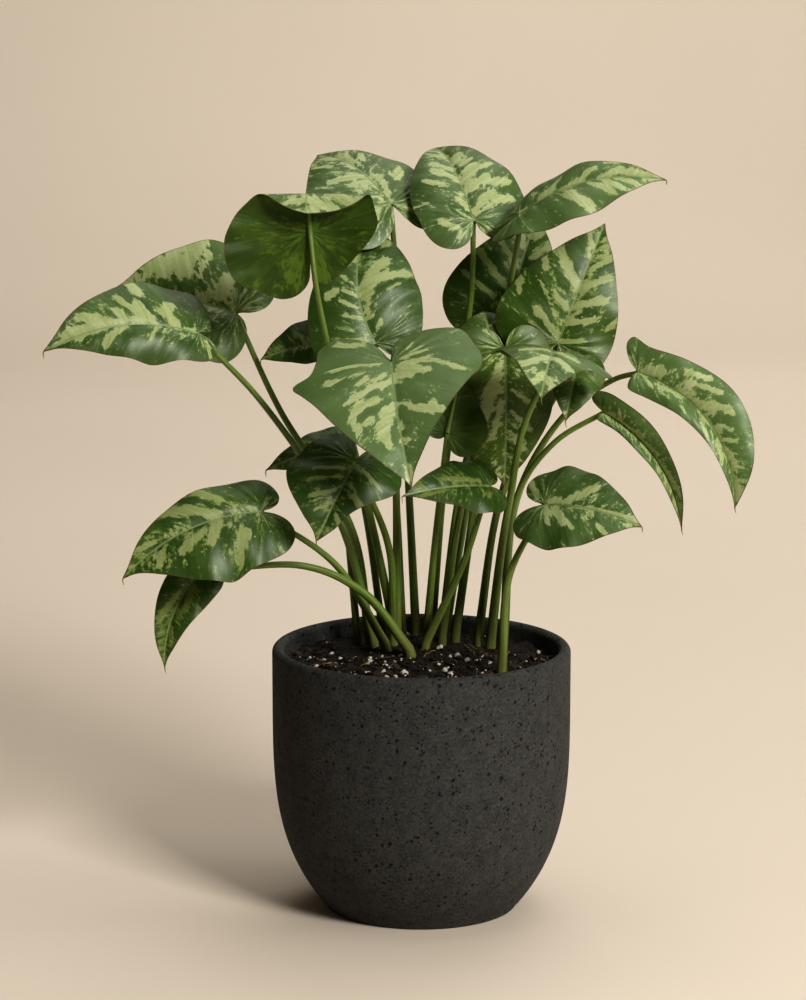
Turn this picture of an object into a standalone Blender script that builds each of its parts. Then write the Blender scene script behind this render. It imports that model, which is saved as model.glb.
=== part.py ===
# A potted homalomena: an egg-shaped stoneware pot, its soil, and every heart-shaped leaf on its own stalk.
# Lengths in the tables are millimetres, angles are degrees. X runs right, Y runs back, Z runs up.
# The origin is the middle of the pot's underside.

import math

import bmesh
import bpy
import numpy as np
from mathutils import Vector

MM = 0.001
WELD = 0.02 * MM

# Pot
POT_RADIUS = 85.0
POT_HEIGHT = 152.0
POT_WALL = 6.8
POT_FLOOR = 7.0
POT_FOOT_RADIUS = 54.0
POT_STEPS = 40
POT_CURVE_STEPS = 8
POT_CURVE_CROWDING = 0.7
RIM_STEPS = 6
BELLY_HEIGHT = 125.0
BELLY_POWER = 3.6

# Soil
SOIL_EDGE_Z = 142.0
SOIL_GAP = 0.3
SOIL_RINGS = 5
MOUND_HEIGHT = 6.0
MOUND_CENTRE = (4.0, 28.0)
MOUND_SPREAD = 34.0
LUMP_HEIGHT = 0.9
LUMP_LENGTHS = (20.3, 23.3, 37.0, 27.3)
LUMP_SHIFTS = (0.9, 2.0)
HOLE_GAP = 0.4
HOLE_SIDES = 8
HOLE_MARGIN = 2.0

# Leaves
BLADE_THICKNESS = 0.8
BLADE_ROWS = 12
BLADE_COLUMNS = 2
MIDRIB_STEPS = 40
PATH_STEPS = 16
VEIN_SLOPE = 0.55
WAVES = 2.5
WAVE_SHIFT = 2.1
SLIM_PLACE = 1.5
MARGIN_ROLL = 2.7
STALK_STEPS = 9
STALK_DEPTH = 16.0
STALK_STRAIGHT = 5.0
STALK_UPRIGHT = 1.2
STALK_TAPER = 0.7
STALK_END_RADIUS = 1.45
RIB_LENGTH = 8.0
RIB_END_RADIUS = 0.5
RIB_COVER = 0.2

# Half of the heart outline, from the joint round the lobe to the tip. Along the midrib, values below zero
# are parts of the lobe's length and the others are parts of the blade's length. Across, they are parts of
# the half width.
HEART = (
    (0.0, 0.0),
    (-0.50, 0.08),
    (-0.88, 0.24),
    (-1.0, 0.48),
    (-0.74, 0.76),
    (-0.12, 0.95),
    (0.14, 1.0),
    (0.36, 0.89),
    (0.58, 0.64),
    (0.78, 0.36),
    (0.91, 0.12),
    (1.0, 0.0),
)

# Outlines of leaves that aren't such hearts, as left and right halves in the same parts. The front leaf has
# a blunt corner on its right, one half behind it is nearly round, the lobes of the rolled leaf almost meet
# under its joint, and the far right leaf has a shoulder.
FRONT_HEART_EDGES = (
    ((0.0, 0.0), (-0.78, 0.08), (-0.97, 0.26), (-0.97, 0.58), (-0.78, 0.82), (0.0, 0.98), (0.19, 1.0),
     (0.28, 0.86), (0.40, 0.70), (0.52, 0.54), (0.66, 0.34), (0.78, 0.20), (0.90, 0.07), (1.0, 0.0)),
    ((0.0, 0.0), (-0.62, 0.16), (-0.90, 0.34), (-1.0, 0.54), (-0.65, 0.71), (-0.05, 0.76), (0.07, 0.82),
     (0.13, 1.0), (0.22, 0.92), (0.45, 0.69), (0.65, 0.46), (0.84, 0.20), (0.94, 0.06), (1.0, 0.0)))
ROUND_HALF = (
    (0.0, 0.0), (-0.60, 0.12), (-1.0, 0.30), (-0.75, 0.62), (0.0, 0.88), (0.22, 1.0), (0.50, 0.96),
    (0.72, 0.84), (0.88, 0.60), (0.96, 0.30), (1.0, 0.0))
ROLLED_EDGES = (
    ((0.0, 0.0), (-0.60, 0.02), (-0.90, 0.06), (-0.98, 0.20), (-0.84, 0.36), (-0.57, 0.58), (-0.20, 0.85),
     (0.10, 1.0), (0.35, 0.97), (0.55, 0.92), (0.75, 0.80), (0.92, 0.50), (0.98, 0.20), (1.0, 0.0)),
    ((0.0, 0.0), (-0.50, 0.02), (-0.78, 0.06), (-0.96, 0.20), (-1.0, 0.38), (-0.86, 0.62), (-0.62, 0.92),
     (-0.08, 1.0), (0.30, 0.87), (0.54, 0.68), (0.75, 0.46), (0.92, 0.22), (1.0, 0.0)))
SHOULDERED_EDGES = (
    ((0.0, 0.0), (-0.55, 0.22), (-0.95, 0.62), (-0.80, 0.84), (0.03, 0.70), (0.24, 0.86), (0.42, 1.0),
     (0.60, 0.92), (0.78, 0.62), (0.91, 0.25), (1.0, 0.0)),
    HEART)

GREEN = (0.045, 0.105, 0.040, 1.0)
GREEN_ROUGHNESS = 0.42
STONEWARE = (0.035, 0.033, 0.031, 1.0)
STONEWARE_ROUGHNESS = 0.85
PEAT = (0.020, 0.013, 0.009, 1.0)
PEAT_ROUGHNESS = 0.95

# Every leaf. foot: where the stalk leaves the soil. bends: points that the stalk passes. joint and tip: the
# ends of the midrib. face: where the upper side looks. halves, lobes, rise: half widths, lobe lengths and
# how far the margins stand over the midrib, left then right with the tip ahead. bow: how far the midrib
# arches over its chord. sweep: how far the midrib bends to the left. belly: how far each half swells.
# droop: how far the lobes hang. wave: height of the margin's waves. slim: how much narrower the halves run
# towards the tip, where they do. twist: degrees that the blade turns about its midrib. edges: outline of
# its halves, where it isn't HEART. roll: height over which the blade rolls over to the front, and the
# roll's radius.
LEAVES = {
    "leaf_front_heart": dict(
        foot=(-14, 33), base=3.0, bends=[(-14, 24, 200), (-15, -16, 285)],
        joint=(-17, -62, 324), tip=(-6, -112, 264), face=(0.05, -0.78, 0.62),
        halves=(48, 54), lobes=(24, 26), rise=(9, -7), bow=7, sweep=-2, belly=3, droop=4, wave=1.5,
        edges=FRONT_HEART_EDGES),
    "leaf_upper_left_dark": dict(
        foot=(-15, 42), base=2.8, bends=[(-30, 24, 225), (-53, -41, 336), (-58, -52, 365)],
        joint=(-61, -48, 393), tip=(-63, -55, 430), face=(0.0, 1.0, 0.1),
        halves=(37, 47), lobes=(30, 36), rise=(-6, -6), bow=1, sweep=0, belly=2, droop=0, wave=1.0,
        edges=ROLLED_EDGES, roll=(411, 4.0)),
    "leaf_far_left": dict(
        foot=(-27, 30), base=2.8, bends=[(-47, 18, 221), (-90, 0, 292)],
        joint=(-124, -20, 334), tip=(-208, -45, 327), face=(0.0, -0.55, 0.83),
        halves=(19, 32), lobes=(12, 10), rise=(-6, 0), bow=10, sweep=-3, belly=3, droop=3,
        wave=1.5, slim=(-0.4, 0.0), twist=-28),
    "leaf_far_left_behind": dict(
        foot=(-30, 40), base=2.8, bends=[(-40, 35, 212), (-81, 30, 283)],
        joint=(-105, 20, 340), tip=(-176, 35, 351), face=(0.0, -0.8, 0.6),
        halves=(33, 40), lobes=(10, 18), rise=(-4, 0), bow=5, sweep=0, belly=3, droop=3,
        wave=1.5, slim=(0.0, -0.2)),
    "leaf_mid_left": dict(
        foot=(-11, 50), base=2.8, bends=[(-14, 42, 220), (-18, 14, 290)],
        joint=(-26, -20, 328), tip=(-29, 16, 389), face=(0.05, -0.87, 0.5),
        halves=(32, 35), lobes=(14, 14), rise=(-8, -4), bow=6, sweep=9, belly=3, droop=2, wave=1.0,
        edges=(HEART, ROUND_HALF)),
    "leaf_top_left": dict(
        foot=(-3, 51), base=2.8, bends=[(-8, 44, 250), (-16, 22, 384)],
        joint=(-17, 17, 402), tip=(-60, 74, 424), face=(0.15, -0.45, 0.9),
        halves=(44, 34), lobes=(20, 20), rise=(-14, -4), bow=8, sweep=0, belly=3, droop=6, wave=1.5),
    "leaf_top_centre": dict(
        foot=(6, 43), base=2.8, bends=[(14, 34, 250), (28, 18, 350)],
        joint=(29, 4, 394), tip=(8, 66, 429), face=(0.0, -0.5, 0.86),
        halves=(29, 33), lobes=(14, 14), rise=(-4, -2), bow=10, sweep=0, belly=3, droop=4,
        wave=1.5, slim=(-0.2, 0.0)),
    "leaf_top_right": dict(
        foot=(20, 38), base=2.8, bends=[(34, 36, 250), (49, 16, 350)],
        joint=(54, -19, 400), tip=(134, -32, 420), face=(-0.2, -0.42, 0.88),
        halves=(19, 23), lobes=(20, 18), rise=(-4, 0), bow=11, sweep=0, belly=3, droop=1,
        wave=1.5, slim=(0.0, -0.45), twist=32),
    "leaf_right_dark": dict(
        foot=(14, 48), base=2.8, bends=[(30, 56, 240), (43, 58, 300)],
        joint=(47, 44, 332), tip=(67, 64, 392), face=(0.0, -0.95, 0.25),
        halves=(38, 30), lobes=(14, 14), rise=(-3, -3), bow=5, sweep=0, belly=3, droop=0, wave=1.5),
    "leaf_right_bright": dict(
        foot=(33, 42), base=2.8, bends=[(44, 36, 224), (64, 20, 290)],
        joint=(76, -6, 326), tip=(103, 17, 391), face=(0.0, -0.93, 0.35),
        halves=(39, 29), lobes=(12, 14), rise=(-3, -3), bow=4, sweep=0, belly=2, droop=0, wave=1.5),
    "leaf_right_saddle": dict(
        foot=(40, 27), base=3.2, bends=[(45, 0, 205), (50, -20, 244), (56, -44, 285)],
        joint=(73, -56, 329), tip=(63, -108, 311), face=(0.0, -0.33, 0.94),
        halves=(34, 36), lobes=(18, 18), rise=(-14, -4), bow=8, sweep=0, belly=4, droop=6,
        wave=1.5, slim=(0.25, 0.25)),
    "leaf_far_right": dict(
        foot=(48, 42), base=2.8, bends=[(55, 28, 232), (80, 14, 281), (107, -4, 305)],
        joint=(120, -20, 312), tip=(173, -45, 240), face=(-0.1, -0.85, 0.4),
        halves=(21, 12), lobes=(12, 2), rise=(3, 3), bow=7, sweep=15, belly=3, droop=2, wave=1.5,
        edges=SHOULDERED_EDGES),
    "leaf_right_small": dict(
        foot=(33, 31), base=2.4, bends=[(46, 20, 234), (73, 6, 290)],
        joint=(86, -26, 318), tip=(79, -42, 288), face=(0.0, -0.9, 0.4),
        halves=(17, 15), lobes=(8, 8), rise=(-3, -3), bow=3, sweep=0, belly=2, droop=1, wave=0.8),
    "leaf_middle_back": dict(
        foot=(12, 37), base=2.6, bends=[(21, 30, 230), (33, 14, 290)],
        joint=(39, -1, 321), tip=(35, 18, 341), face=(0.0, -0.6, 0.8),
        halves=(24, 24), lobes=(10, 10), rise=(-6, -6), bow=5, sweep=0, belly=2, droop=2, wave=1.0),
    "leaf_middle_hanging": dict(
        foot=(12, 27), base=2.8, bends=[(21, 14, 220), (39, 2, 300)],
        joint=(46, -16, 325), tip=(47, 4, 243), face=(0.1, -0.98, 0.1),
        halves=(26, 32), lobes=(12, 12), rise=(-2, -2), bow=6, sweep=0, belly=2, droop=3,
        wave=1.5, slim=(-0.3, -0.35)),
    "leaf_middle_dark": dict(
        foot=(3, 23), base=2.6, bends=[(8, 0, 215)],
        joint=(14, -30, 279), tip=(21, -28, 311), face=(0.0, 0.95, -0.2),
        halves=(22, 13), lobes=(11, 4), rise=(-2, -2), bow=2, sweep=0, belly=1, droop=0, wave=0.8),
    "leaf_middle_low": dict(
        foot=(2, 13), base=2.8, bends=[(24, 0, 200)],
        joint=(38, -22, 248), tip=(-11, -48, 247), face=(0.0, -0.75, 0.66),
        halves=(18, 19), lobes=(9, 9), rise=(-2, -2), bow=4, sweep=0, belly=2, droop=1, wave=1.5),
    "leaf_right_narrow": dict(
        foot=(47, 33), base=2.6, bends=[(54, 18, 233), (75, 0, 269)],
        joint=(102, -12, 288), tip=(146, -16, 222), face=(-0.3, -0.85, -0.1),
        halves=(14, 4), lobes=(10, 2), rise=(4, 4), bow=4, sweep=12, belly=2, droop=1, wave=1.0),
    "leaf_low_right": dict(
        foot=(45, -30), base=3.0, bends=[(49, -35, 200)],
        joint=(68, -40, 241), tip=(121, -60, 232), face=(0.1, -0.75, 0.65),
        halves=(26, 27), lobes=(16, 16), rise=(0, -2), bow=6, sweep=0, belly=3, droop=2,
        wave=1.5, slim=(0.0, -0.25)),
    "leaf_left_small": dict(
        foot=(-22, 49), base=2.4, bends=[(-34, 40, 230)],
        joint=(-58, 12, 324), tip=(-91, 14, 314), face=(0.0, -0.8, 0.5),
        halves=(11, 16), lobes=(8, 8), rise=(-2, -2), bow=3, sweep=0, belly=1, droop=1, wave=0.8),
    "leaf_low_left_small": dict(
        foot=(-37, 46), base=2.4, bends=[(-43, 51, 210)],
        joint=(-47, 54, 259), tip=(-90, 50, 244), face=(0.0, -0.7, 0.7),
        halves=(15, 14), lobes=(8, 8), rise=(-2, -2), bow=3, sweep=0, belly=1, droop=1, wave=0.8),
    "leaf_low_left_heart": dict(
        foot=(-16, 24), base=2.8, bends=[(-18, 4, 205)],
        joint=(-37, -50, 267), tip=(-58, -70, 226), face=(0.1, -0.85, 0.45),
        halves=(30, 27), lobes=(16, 14), rise=(-4, -4), bow=5, sweep=0, belly=3, droop=2,
        wave=1.5, slim=(0.45, -0.55)),
    "leaf_low_left_large": dict(
        foot=(-20, 16), base=2.8, bends=[(-49, -14, 202)],
        joint=(-89, -40, 237), tip=(-165, -60, 203), face=(-0.1, -0.75, 0.66),
        halves=(31, 22), lobes=(17, 12), rise=(-4, -2), bow=7, sweep=-6, belly=3, droop=3,
        wave=1.5, slim=(-0.5, -0.1), twist=-8),
    "leaf_low_left_narrow": dict(
        foot=(-6, 2), base=3.2, bends=[(-33, -12, 185), (-66, -25, 203)],
        joint=(-123, -25, 200), tip=(-144, -35, 147), face=(-0.2, -0.85, -0.3),
        halves=(15, 14), lobes=(8, 8), rise=(2, 2), bow=3, sweep=-6, belly=2, droop=1, wave=1.0),
}


def smooth_path(points, steps):
    """Points along a smooth curve through the given points, evenly spaced."""
    knots = np.array(points, float)
    knots = np.vstack([2 * knots[0] - knots[1], knots, 2 * knots[-1] - knots[-2]])
    fine = []
    for k in range(1, len(knots) - 2):
        before, start, end, after = knots[k - 1:k + 3]
        ends = ((before, start), (start, end), (end, after))
        gaps = [max(1e-6, np.linalg.norm(second - first)) ** 0.5 for first, second in ends]
        leave = (start - before) / gaps[0] - (end - before) / (gaps[0] + gaps[1]) + (end - start) / gaps[1]
        arrive = (end - start) / gaps[1] - (after - start) / (gaps[1] + gaps[2]) + (after - end) / gaps[2]
        leave, arrive = leave * gaps[1], arrive * gaps[1]
        for u in np.linspace(0, 1, PATH_STEPS + 1)[k > 1:]:
            fine.append(
                (2 * u**3 - 3 * u**2 + 1) * start + (u**3 - 2 * u**2 + u) * leave
                + (3 * u**2 - 2 * u**3) * end + (u**3 - u**2) * arrive)
    fine = np.array(fine)
    walked = np.concatenate([[0.0], np.cumsum(np.linalg.norm(np.diff(fine, axis=0), axis=1))])
    wanted = np.linspace(0, walked[-1], steps)
    return np.stack([np.interp(wanted, walked, fine[:, axis]) for axis in range(fine.shape[1])], axis=1)


def unit(vector):
    return np.asarray(vector, float) / np.linalg.norm(vector)


def unit_rows(rows):
    return rows / np.linalg.norm(rows, axis=1, keepdims=True)


class Midrib:
    """The curve of a blade's midrib, with the blade's left and up directions along it."""

    def __init__(self, leaf):
        joint, tip = np.array(leaf["joint"], float), np.array(leaf["tip"], float)
        along = unit(tip - joint)
        face = np.array(leaf["face"], float)
        self.up = unit(face - face.dot(along) * along)
        self.left = np.cross(self.up, along)
        crest = (joint + tip) / 2 + 2 * leaf["bow"] * self.up + 2 * leaf["sweep"] * self.left
        u = np.linspace(0, 1, MIDRIB_STEPS + 1)[:, None]
        self.points = (1 - u) ** 2 * joint + 2 * u * (1 - u) * crest + u**2 * tip
        self.runs = unit_rows(2 * (1 - u) * (crest - joint) + 2 * u * (tip - crest))
        steps = np.linalg.norm(np.diff(self.points, axis=0), axis=1)
        self.walked = np.concatenate([[0.0], np.cumsum(steps)])
        self.length = self.walked[-1]
        self.twist = leaf.get("twist", 0)

    def at(self, distance):
        """Place, and running, left and up directions, at a distance from the joint. Before it, it runs on."""
        inside = np.clip(distance, 0, self.length)
        place = np.array([np.interp(inside, self.walked, self.points[:, axis]) for axis in range(3)])
        run = unit([np.interp(inside, self.walked, self.runs[:, axis]) for axis in range(3)])
        up = unit(self.up - self.up.dot(run) * run)
        turn = math.radians(self.twist) * distance / self.length
        up = up * math.cos(turn) + np.cross(run, up) * math.sin(turn)
        return place + run * (distance - inside), run, np.cross(up, run), up


def rolled(point, height, radius):
    """Rolls a point of a blade that is above a height over towards the front."""
    over = max(0.0, point[2] - height)
    angle = min(over / radius, MARGIN_ROLL)
    rest = over - angle * radius
    rise = radius * math.sin(angle) + rest * math.cos(angle)
    forward = radius * (1 - math.cos(angle)) + rest * math.sin(angle)
    return point + np.array([0.0, -forward, rise - over])


def blade_point(leaf, rib, distance, across):
    """A point of the blade's upper side. across runs over zero to the left and below zero to the right."""
    side = 0 if across >= 0 else 1
    place, run, left, up = rib.at(distance)
    reach = abs(across) / leaf["halves"][side]
    height = leaf["rise"][side] * reach + leaf["belly"] * 4 * reach * (1 - reach)
    turn = 2 * math.pi * WAVES * distance / rib.length + WAVE_SHIFT * side
    height += leaf["wave"] * reach**2 * math.sin(turn)
    if distance < 0:
        height -= leaf["droop"] * (distance / leaf["lobes"][side]) ** 2
    point = place + left * across + up * height
    return rolled(point, *leaf["roll"]) if "roll" in leaf else point


def outline(leaf, rib, side):
    """Half of the blade's edge, as distance along the midrib and distance across it."""
    corners = []
    for along, across in leaf.get("edges", (HEART, HEART))[side]:
        if along < 0:
            corners.append((along * leaf["lobes"][side], across * leaf["halves"][side]))
        else:
            slimmer = 1 - leaf.get("slim", (0, 0))[side] * math.sin(math.pi * along**SLIM_PLACE)
            corners.append((along * rib.length, across * leaf["halves"][side] * slimmer))
    return smooth_path(corners, BLADE_ROWS + 1)


def blade_surface(leaf, rib):
    """The upper side of a blade as one open sheet of triangles, whose rows follow the side veins."""
    sheet = bmesh.new()
    edges = [outline(leaf, rib, side) for side in (0, 1)]
    roots = [
        max(0.0, (left[0] + right[0] - VEIN_SLOPE * (left[1] + right[1])) / 2) for left, right in zip(*edges)]
    for edge, sign in zip(edges, (1, -1)):
        rows = []
        for (edge_x, edge_y), root in zip(edge, roots):
            edge_y = max(0.0, edge_y)
            rows.append([
                sheet.verts.new(MM * blade_point(leaf, rib, root + (edge_x - root) * t, sign * edge_y * t))
                for t in np.linspace(0, 1, BLADE_COLUMNS + 1)])
        for lower, upper in zip(rows[:-1], rows[1:]):
            for k in range(BLADE_COLUMNS):
                for corners in ((lower[k], lower[k + 1], upper[k + 1]), (lower[k], upper[k + 1], upper[k])):
                    sheet.faces.new(corners[::-sign])
    bmesh.ops.remove_doubles(sheet, verts=sheet.verts, dist=WELD)
    bmesh.ops.dissolve_degenerate(sheet, edges=sheet.edges, dist=WELD)
    return sheet


def add_object(name, mesh, collection, material=None):
    thing = bpy.data.objects.new(name, mesh)
    if material:
        mesh.materials.append(material)
    collection.objects.link(thing)
    return thing


def mesh_from(sheet, name):
    mesh = bpy.data.meshes.new(name)
    sheet.to_mesh(mesh)
    sheet.free()
    return mesh


def tube(name, points, radii, collection):
    """A closed round tube through the points, as a mesh object."""
    curve = bpy.data.curves.new(name, "CURVE")
    curve.dimensions = "3D"
    curve.bevel_depth = MM
    curve.bevel_resolution = 1
    curve.use_fill_caps = True
    spline = curve.splines.new("POLY")
    spline.points.add(len(points) - 1)
    for knot, point, radius in zip(spline.points, points, radii):
        knot.co = (*(MM * np.asarray(point)), 1.0)
        knot.radius = radius
    guide = add_object(name + "_curve", curve, collection)
    bpy.context.view_layer.update()
    evaluated = guide.evaluated_get(bpy.context.evaluated_depsgraph_get())
    mesh = bpy.data.meshes.new_from_object(evaluated)
    welded = bmesh.new()
    welded.from_mesh(mesh)
    bmesh.ops.remove_doubles(welded, verts=welded.verts, dist=WELD)
    welded.to_mesh(mesh)
    welded.free()
    bpy.data.objects.remove(guide)
    return add_object(name, mesh, collection)


def join_bodies(target, others, operation="UNION", solver="EXACT"):
    """Unites the target with the others, or cuts them from it, for good, and removes them."""
    group = bpy.data.collections.new(target.name + "_joined")
    bpy.context.scene.collection.children.link(group)
    for other in others:
        group.objects.link(other)
    change = target.modifiers.new("join", "BOOLEAN")
    change.operation = operation
    change.operand_type = "COLLECTION"
    change.collection = group
    change.solver = solver
    bpy.context.view_layer.update()
    evaluated = target.evaluated_get(bpy.context.evaluated_depsgraph_get())
    mesh = bpy.data.meshes.new_from_object(evaluated)
    target.modifiers.clear()
    target.data = mesh
    for other in others:
        bpy.data.objects.remove(other)
    bpy.data.collections.remove(group)


def soil_height(x, y):
    """The soil's upper surface: a low mound round the stalks, with small lumps."""
    away = math.hypot(x - MOUND_CENTRE[0], y - MOUND_CENTRE[1])
    turns = [2 * math.pi * p / length for p, length in zip((x, y, x, y), LUMP_LENGTHS)]
    lumps = math.sin(turns[0] + LUMP_SHIFTS[0]) * math.cos(turns[1])
    lumps += math.sin(turns[2] - turns[3] + LUMP_SHIFTS[1]) / 2
    return SOIL_EDGE_Z + MOUND_HEIGHT * math.exp(-((away / MOUND_SPREAD) ** 2)) + LUMP_HEIGHT * lumps


def stalk_start(leaf):
    """The foot of a stalk on the soil, and the straight direction in which it leaves it."""
    x, y = leaf["foot"]
    foot = np.array([x, y, soil_height(x, y)])
    target = np.array(leaf["bends"][0], float)
    return foot, unit(unit(target - foot) + np.array([0.0, 0.0, STALK_UPRIGHT]))


def stalk_points(leaf, rib):
    """The stalk's path, from inside the soil to the joint and a little way on under the midrib."""
    foot, lean = stalk_start(leaf)
    joint, run, left, up = rib.at(0)
    knee = joint - up * (STALK_END_RADIUS + RIB_COVER)
    bottom = foot - lean * STALK_DEPTH / lean[2]
    start = foot + lean * STALK_STRAIGHT
    path = smooth_path([start, *[np.array(b, float) for b in leaf["bends"]], knee], STALK_STEPS)
    place, run, left, up = rib.at(RIB_LENGTH)
    return np.vstack([bottom, path, place - up * (RIB_END_RADIUS + RIB_COVER)])


def make_leaf(name, leaf, collection, material):
    rib = Midrib(leaf)
    blade = add_object(name, mesh_from(blade_surface(leaf, rib), name), collection, material)
    thicken = blade.modifiers.new("thickness", "SOLIDIFY")
    thicken.thickness = BLADE_THICKNESS * MM
    thicken.offset = -1
    points = stalk_points(leaf, rib)
    shrink = np.linspace(0, 1, len(points) - 2) ** STALK_TAPER
    radii = [leaf["base"], *(leaf["base"] + (STALK_END_RADIUS - leaf["base"]) * shrink), RIB_END_RADIUS]
    join_bodies(blade, [tube(name + "_stalk", points, radii, collection)], "UNION", "MANIFOLD")
    for face in blade.data.polygons:
        face.use_smooth = True
    return blade


def arc(centre, radius, start, end, steps):
    angles = [math.radians(start + (end - start) * k / steps) for k in range(steps + 1)]
    return [(centre[0] + radius * math.cos(a), centre[1] + radius * math.sin(a)) for a in angles]


def belly_radius(z, top_radius, foot_radius, foot_z):
    """Radius of the pot's lower part: upright at the belly, curving in ever faster towards the foot."""
    down = min(1.0, max(0.0, (BELLY_HEIGHT - z) / (BELLY_HEIGHT - foot_z)))
    return top_radius - (top_radius - foot_radius) * down**BELLY_POWER


def pot_wall(top_radius, foot_radius, foot_z, steps):
    """Wall points from the belly down to the foot, closer together where the wall bends more."""
    parts = [(k / steps) ** POT_CURVE_CROWDING for k in range(steps + 1)]
    heights = [BELLY_HEIGHT + (foot_z - BELLY_HEIGHT) * part for part in parts]
    return [(belly_radius(z, top_radius, foot_radius, foot_z), z) for z in heights]


def turned(name, profile, steps, collection, material):
    """A turned body. The profile runs down its outer side and starts and ends on the axis."""
    sheet = bmesh.new()
    knots = [sheet.verts.new((MM * radius, 0, MM * z)) for radius, z in profile]
    for first, second in zip(knots[:-1], knots[1:]):
        sheet.edges.new((first, second))
    body = add_object(name, mesh_from(sheet, name), collection, material)
    turn = body.modifiers.new("turn", "SCREW")
    turn.steps = steps
    turn.render_steps = steps
    turn.use_merge_vertices = True
    turn.merge_threshold = WELD
    turn.use_smooth_shade = True
    return body


def make_pot(collection, material):
    inner = POT_RADIUS - POT_WALL
    lip = POT_WALL / 2
    rim = arc((POT_RADIUS - lip, POT_HEIGHT - lip), lip, 180, 0, RIM_STEPS)
    outside = pot_wall(POT_RADIUS, POT_FOOT_RADIUS, 0.0, POT_CURVE_STEPS)
    inside = pot_wall(inner, POT_FOOT_RADIUS - POT_WALL, POT_FLOOR, POT_CURVE_STEPS)
    profile = [(0, POT_FLOOR), *inside[::-1], *rim, *outside, (0, 0)]
    return turned("pot", profile, POT_STEPS, collection, material)


def make_soil(collection, material):
    inner = POT_RADIUS - POT_WALL - SOIL_GAP
    top = [(inner * k / SOIL_RINGS, SOIL_EDGE_Z) for k in range(SOIL_RINGS)]
    wall = pot_wall(inner, POT_FOOT_RADIUS - POT_WALL - SOIL_GAP, POT_FLOOR + SOIL_GAP, POT_CURVE_STEPS)
    profile = [*top, (inner, SOIL_EDGE_Z), *wall, (0, POT_FLOOR + SOIL_GAP)]
    soil = turned("soil", profile, POT_STEPS, collection, material)
    bpy.context.view_layer.update()
    evaluated = soil.evaluated_get(bpy.context.evaluated_depsgraph_get())
    mesh = bpy.data.meshes.new_from_object(evaluated)
    soil.modifiers.clear()
    soil.data = mesh
    for vertex in mesh.vertices:
        if vertex.co.z > SOIL_EDGE_Z * MM - WELD:
            vertex.co.z = MM * soil_height(vertex.co.x / MM, vertex.co.y / MM)
    return soil


def cut_stalk_holes(soil, cutters):
    """A plain hole for every stalk, along the straight start of the stalk."""
    tools = []
    for name, leaf in LEAVES.items():
        foot, lean = stalk_start(leaf)
        length = 2 * (STALK_DEPTH + HOLE_MARGIN)
        radius = (leaf["base"] + HOLE_GAP) / math.cos(math.pi / HOLE_SIDES)
        bpy.ops.mesh.primitive_cylinder_add(vertices=HOLE_SIDES, radius=radius * MM, depth=length * MM)
        tool = bpy.context.object
        tool.name = "hole_" + name
        tool.rotation_mode = "QUATERNION"
        tool.rotation_quaternion = Vector((0, 0, 1)).rotation_difference(Vector(lean))
        tool.location = Vector(foot * MM)
        tool.display_type = "WIRE"
        tool.hide_render = True
        for home in tool.users_collection:
            home.objects.unlink(tool)
        cutters.objects.link(tool)
        tools.append(tool)
    join_bodies(soil, tools, "DIFFERENCE")


def make_material(name, colour, roughness):
    material = bpy.data.materials.new(name)
    material.use_nodes = True
    shader = material.node_tree.nodes["Principled BSDF"]
    shader.inputs["Base Color"].default_value = colour
    shader.inputs["Roughness"].default_value = roughness
    shader.inputs["Metallic"].default_value = 0.0
    material.diffuse_color = colour
    return material


def build():
    for thing in list(bpy.data.objects):
        bpy.data.objects.remove(thing)
    plant = bpy.data.collections.new("potted_homalomena")
    cutters = bpy.data.collections.new("cutters")
    for collection in (plant, cutters):
        bpy.context.scene.collection.children.link(collection)
    make_pot(plant, make_material("stoneware", STONEWARE, STONEWARE_ROUGHNESS))
    soil = make_soil(plant, make_material("peat", PEAT, PEAT_ROUGHNESS))
    cut_stalk_holes(soil, cutters)
    leaf_green = make_material("leaf_green", GREEN, GREEN_ROUGHNESS)
    for name, leaf in LEAVES.items():
        make_leaf(name, leaf, plant, leaf_green)


build()
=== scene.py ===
# A homalomena in a dark stoneware pot, dressed for its portrait.
import math
from dataclasses import dataclass

import bmesh
import bpy
import numpy as np
from mathutils import Euler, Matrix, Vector, noise


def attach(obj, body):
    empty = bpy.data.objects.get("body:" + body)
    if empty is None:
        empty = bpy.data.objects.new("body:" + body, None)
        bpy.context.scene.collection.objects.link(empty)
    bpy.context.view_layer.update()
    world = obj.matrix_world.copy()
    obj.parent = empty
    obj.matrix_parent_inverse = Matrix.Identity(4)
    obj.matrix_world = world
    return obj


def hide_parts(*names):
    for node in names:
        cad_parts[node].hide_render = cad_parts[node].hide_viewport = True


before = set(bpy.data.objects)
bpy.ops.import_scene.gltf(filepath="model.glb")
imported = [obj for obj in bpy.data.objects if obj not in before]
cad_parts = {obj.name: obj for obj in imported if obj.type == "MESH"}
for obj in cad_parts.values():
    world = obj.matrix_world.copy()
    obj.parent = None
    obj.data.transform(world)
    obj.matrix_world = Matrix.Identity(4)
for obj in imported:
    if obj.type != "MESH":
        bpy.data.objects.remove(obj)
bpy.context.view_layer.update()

# The camera stands two metres in front of the plant, a little above its middle, and looks slightly down, as
# in the photograph. The long side of the picture is the sensor's side.
CAMERA_PLACE = (-0.0105, -2.0, 0.612)
CAMERA_DIP = 10.65
CAMERA_LENS = 129.6
CAMERA_SENSOR = 36
eye = bpy.data.cameras.new("eye")
eye.lens = CAMERA_LENS
eye.sensor_width = CAMERA_SENSOR
camera = bpy.data.objects.new("eye", eye)
camera.location = CAMERA_PLACE
camera.rotation_euler = (math.radians(90 - CAMERA_DIP), 0, 0)
bpy.context.scene.collection.objects.link(camera)
bpy.context.scene.camera = camera
bpy.context.scene.view_settings.view_transform = "Standard"
bpy.context.scene.view_settings.look = "High Contrast"


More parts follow.
